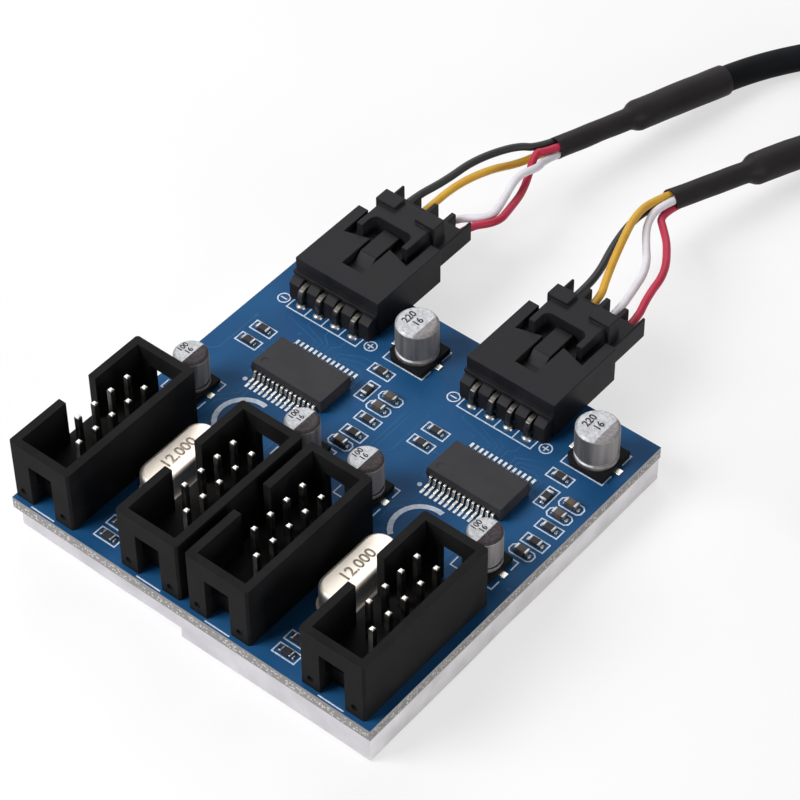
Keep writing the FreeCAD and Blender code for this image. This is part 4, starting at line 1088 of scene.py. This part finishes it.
def thicken(piece):
    editAll(piece)
    bpy.ops.mesh.normals_make_consistent(inside=False)
    leaveEdit()
    applyModifier(piece, "SOLIDIFY", thickness=inkHeight * mm, offset=0.0)


def makeTracks():
    strips = []
    for step in (0.0, halfStep):
        for corners in trackRoutes:
            if max(x for x, y in corners) + step < track["reach"]:
                strips += flatLine([(x + step, y) for x, y in corners], track["width"], track["lift"])
        for x, y in viaPlaces:
            if x + step < track["viaReach"]:
                strips.append(flatDisc(x + step, y, track["via"], track["lift"] + 2 * inkStep))
    copper = joinPieces("maskedTracks", strips)
    thicken(copper)
    return ridesAs(copper, maskTrack, "board_blue")


def silkLine(corners, raised=0.0):
    return flatLine(corners, silk["line"], silk["lift"] + raised)


def silkFrame(x, y, width, depth, corner=0.0):
    return keepRim(flatPlate(x, y, width, depth, silk["lift"], corner), silk["line"])


def silkSign(x, y, upright):
    # a plus or minus in a ring
    radius, half = silk["sign"]
    sign = [keepRim(flatDisc(x, y, radius, silk["lift"]), silk["line"])]
    sign += silkLine([(x - half, y), (x + half, y)])
    if upright:
        sign += silkLine([(x, y - half), (x, y + half)], inkStep)
    return sign


def silkArc(x, y, radius, first, last):
    ring = keepRim(flatDisc(x, y, radius + silk["bold"] / 2, silk["lift"]), silk["bold"])
    return cutAway(cutAway(ring, x, y, first + 90), x, y, last - 90)


def makeSilk():
    patches = []
    for side, step in (("left", 0.0), ("right", halfStep)):
        x0 = socketX[side]
        front, back = silk["combY"]
        patches += silkLine([(x0 - silk["combHalf"], front), (x0 + silk["combHalf"], front)])
        for number in range(silk["combTeeth"]):
            x = x0 + (number - silk["combTeeth"] // 2) * silk["combPitch"]
            patches += silkLine([(x, front), (x, back)], inkStep)
        (minusX, minusY), (plusX, plusY) = silk["minus"], silk["plus"]
        patches += silkSign(x0 + minusX, minusY, False) + silkSign(x0 + plusX, plusY, True)
        for kind, x, y, turned in chipPlaces:
            width, depth = reversed(silk["chipFrame"]) if turned else silk["chipFrame"]
            corner = silk["chipCorner"] if kind == "capacitor" else 0.0
            patches.append(silkFrame(x + step, y, width, depth, corner))
        x, y, radius = silk["pinOne"]
        patches.append(flatDisc(x + step, y, radius, silk["lift"]))
        x, *arc = silk["arc"]
        patches.append(silkArc(x + step, *arc))
    for kind, x, y in canPlaces:
        width, depth = canSizes[kind]["outline"]
        for side in (-1, 1):
            half = silkFrame(x, y, width, depth)
            patches.append(cutAway(half, x, y + side * silk["canGap"], 90 * side))
    for x in silk["bars"]:
        patches += silkLine([(x - silk["barHalf"], silk["barY"]), (x + silk["barHalf"], silk["barY"])])
    screenPrint = joinPieces("screenPrint", patches)
    thicken(screenPrint)
    return ridesAs(screenPrint, silkWhite, "wire_white")


makeTracks()
makeSilk()
print("tracks and screen print made")


# plain numbers: the crystals' frequency, and the capacitors' value and volts

crystalMark = {"text": "12.000", "size": 1.85, "places": ((-13.0, -11.0), (11.95, -11.0)), "top": 8.5}
markStroke = 0.02  # a bolder stroke, as a share of the size
markLift = 0.006
canMarks = {
    # each number with its size and its place across the can
    "small": (("100", 0.95, -1.15), ("16", 0.95, -0.25)),
    "large": (("220", 1.25, -1.1), ("16", 1.25, 0.15)),
}


def printNumber(text, size, x, y, z):
    clearSelection()
    bpy.ops.object.text_add()
    mark = bpy.context.object
    mark.data.body = text
    mark.data.size = size * mm
    mark.data.offset = markStroke * size * mm
    mark.data.align_x = "CENTER"
    mark.data.align_y = "CENTER"
    bpy.ops.object.convert(target="MESH")
    mark = bpy.context.object
    mark.rotation_euler.z = math.radians(90)
    mark.location = point(x, y, z + markLift)
    settle(mark)
    return mark


def makeMarks(name, marks, ink, slot):
    numbers = joinPieces(name, marks)
    thicken(numbers)
    return ridesAs(numbers, ink, slot)


crystalNumbers = [printNumber(crystalMark["text"], crystalMark["size"], x, y, crystalMark["top"])
                  for x, y in crystalMark["places"]]
makeMarks("crystalNumbers", crystalNumbers, markInk, "can_steel")
canNumbers = [printNumber(text, size, x + across, y, canSizes["top"])
              for kind, x, y in canPlaces for text, size, across in canMarks[kind]]
makeMarks("canNumbers", canNumbers, canInk, "chip_black")
print("marks made")
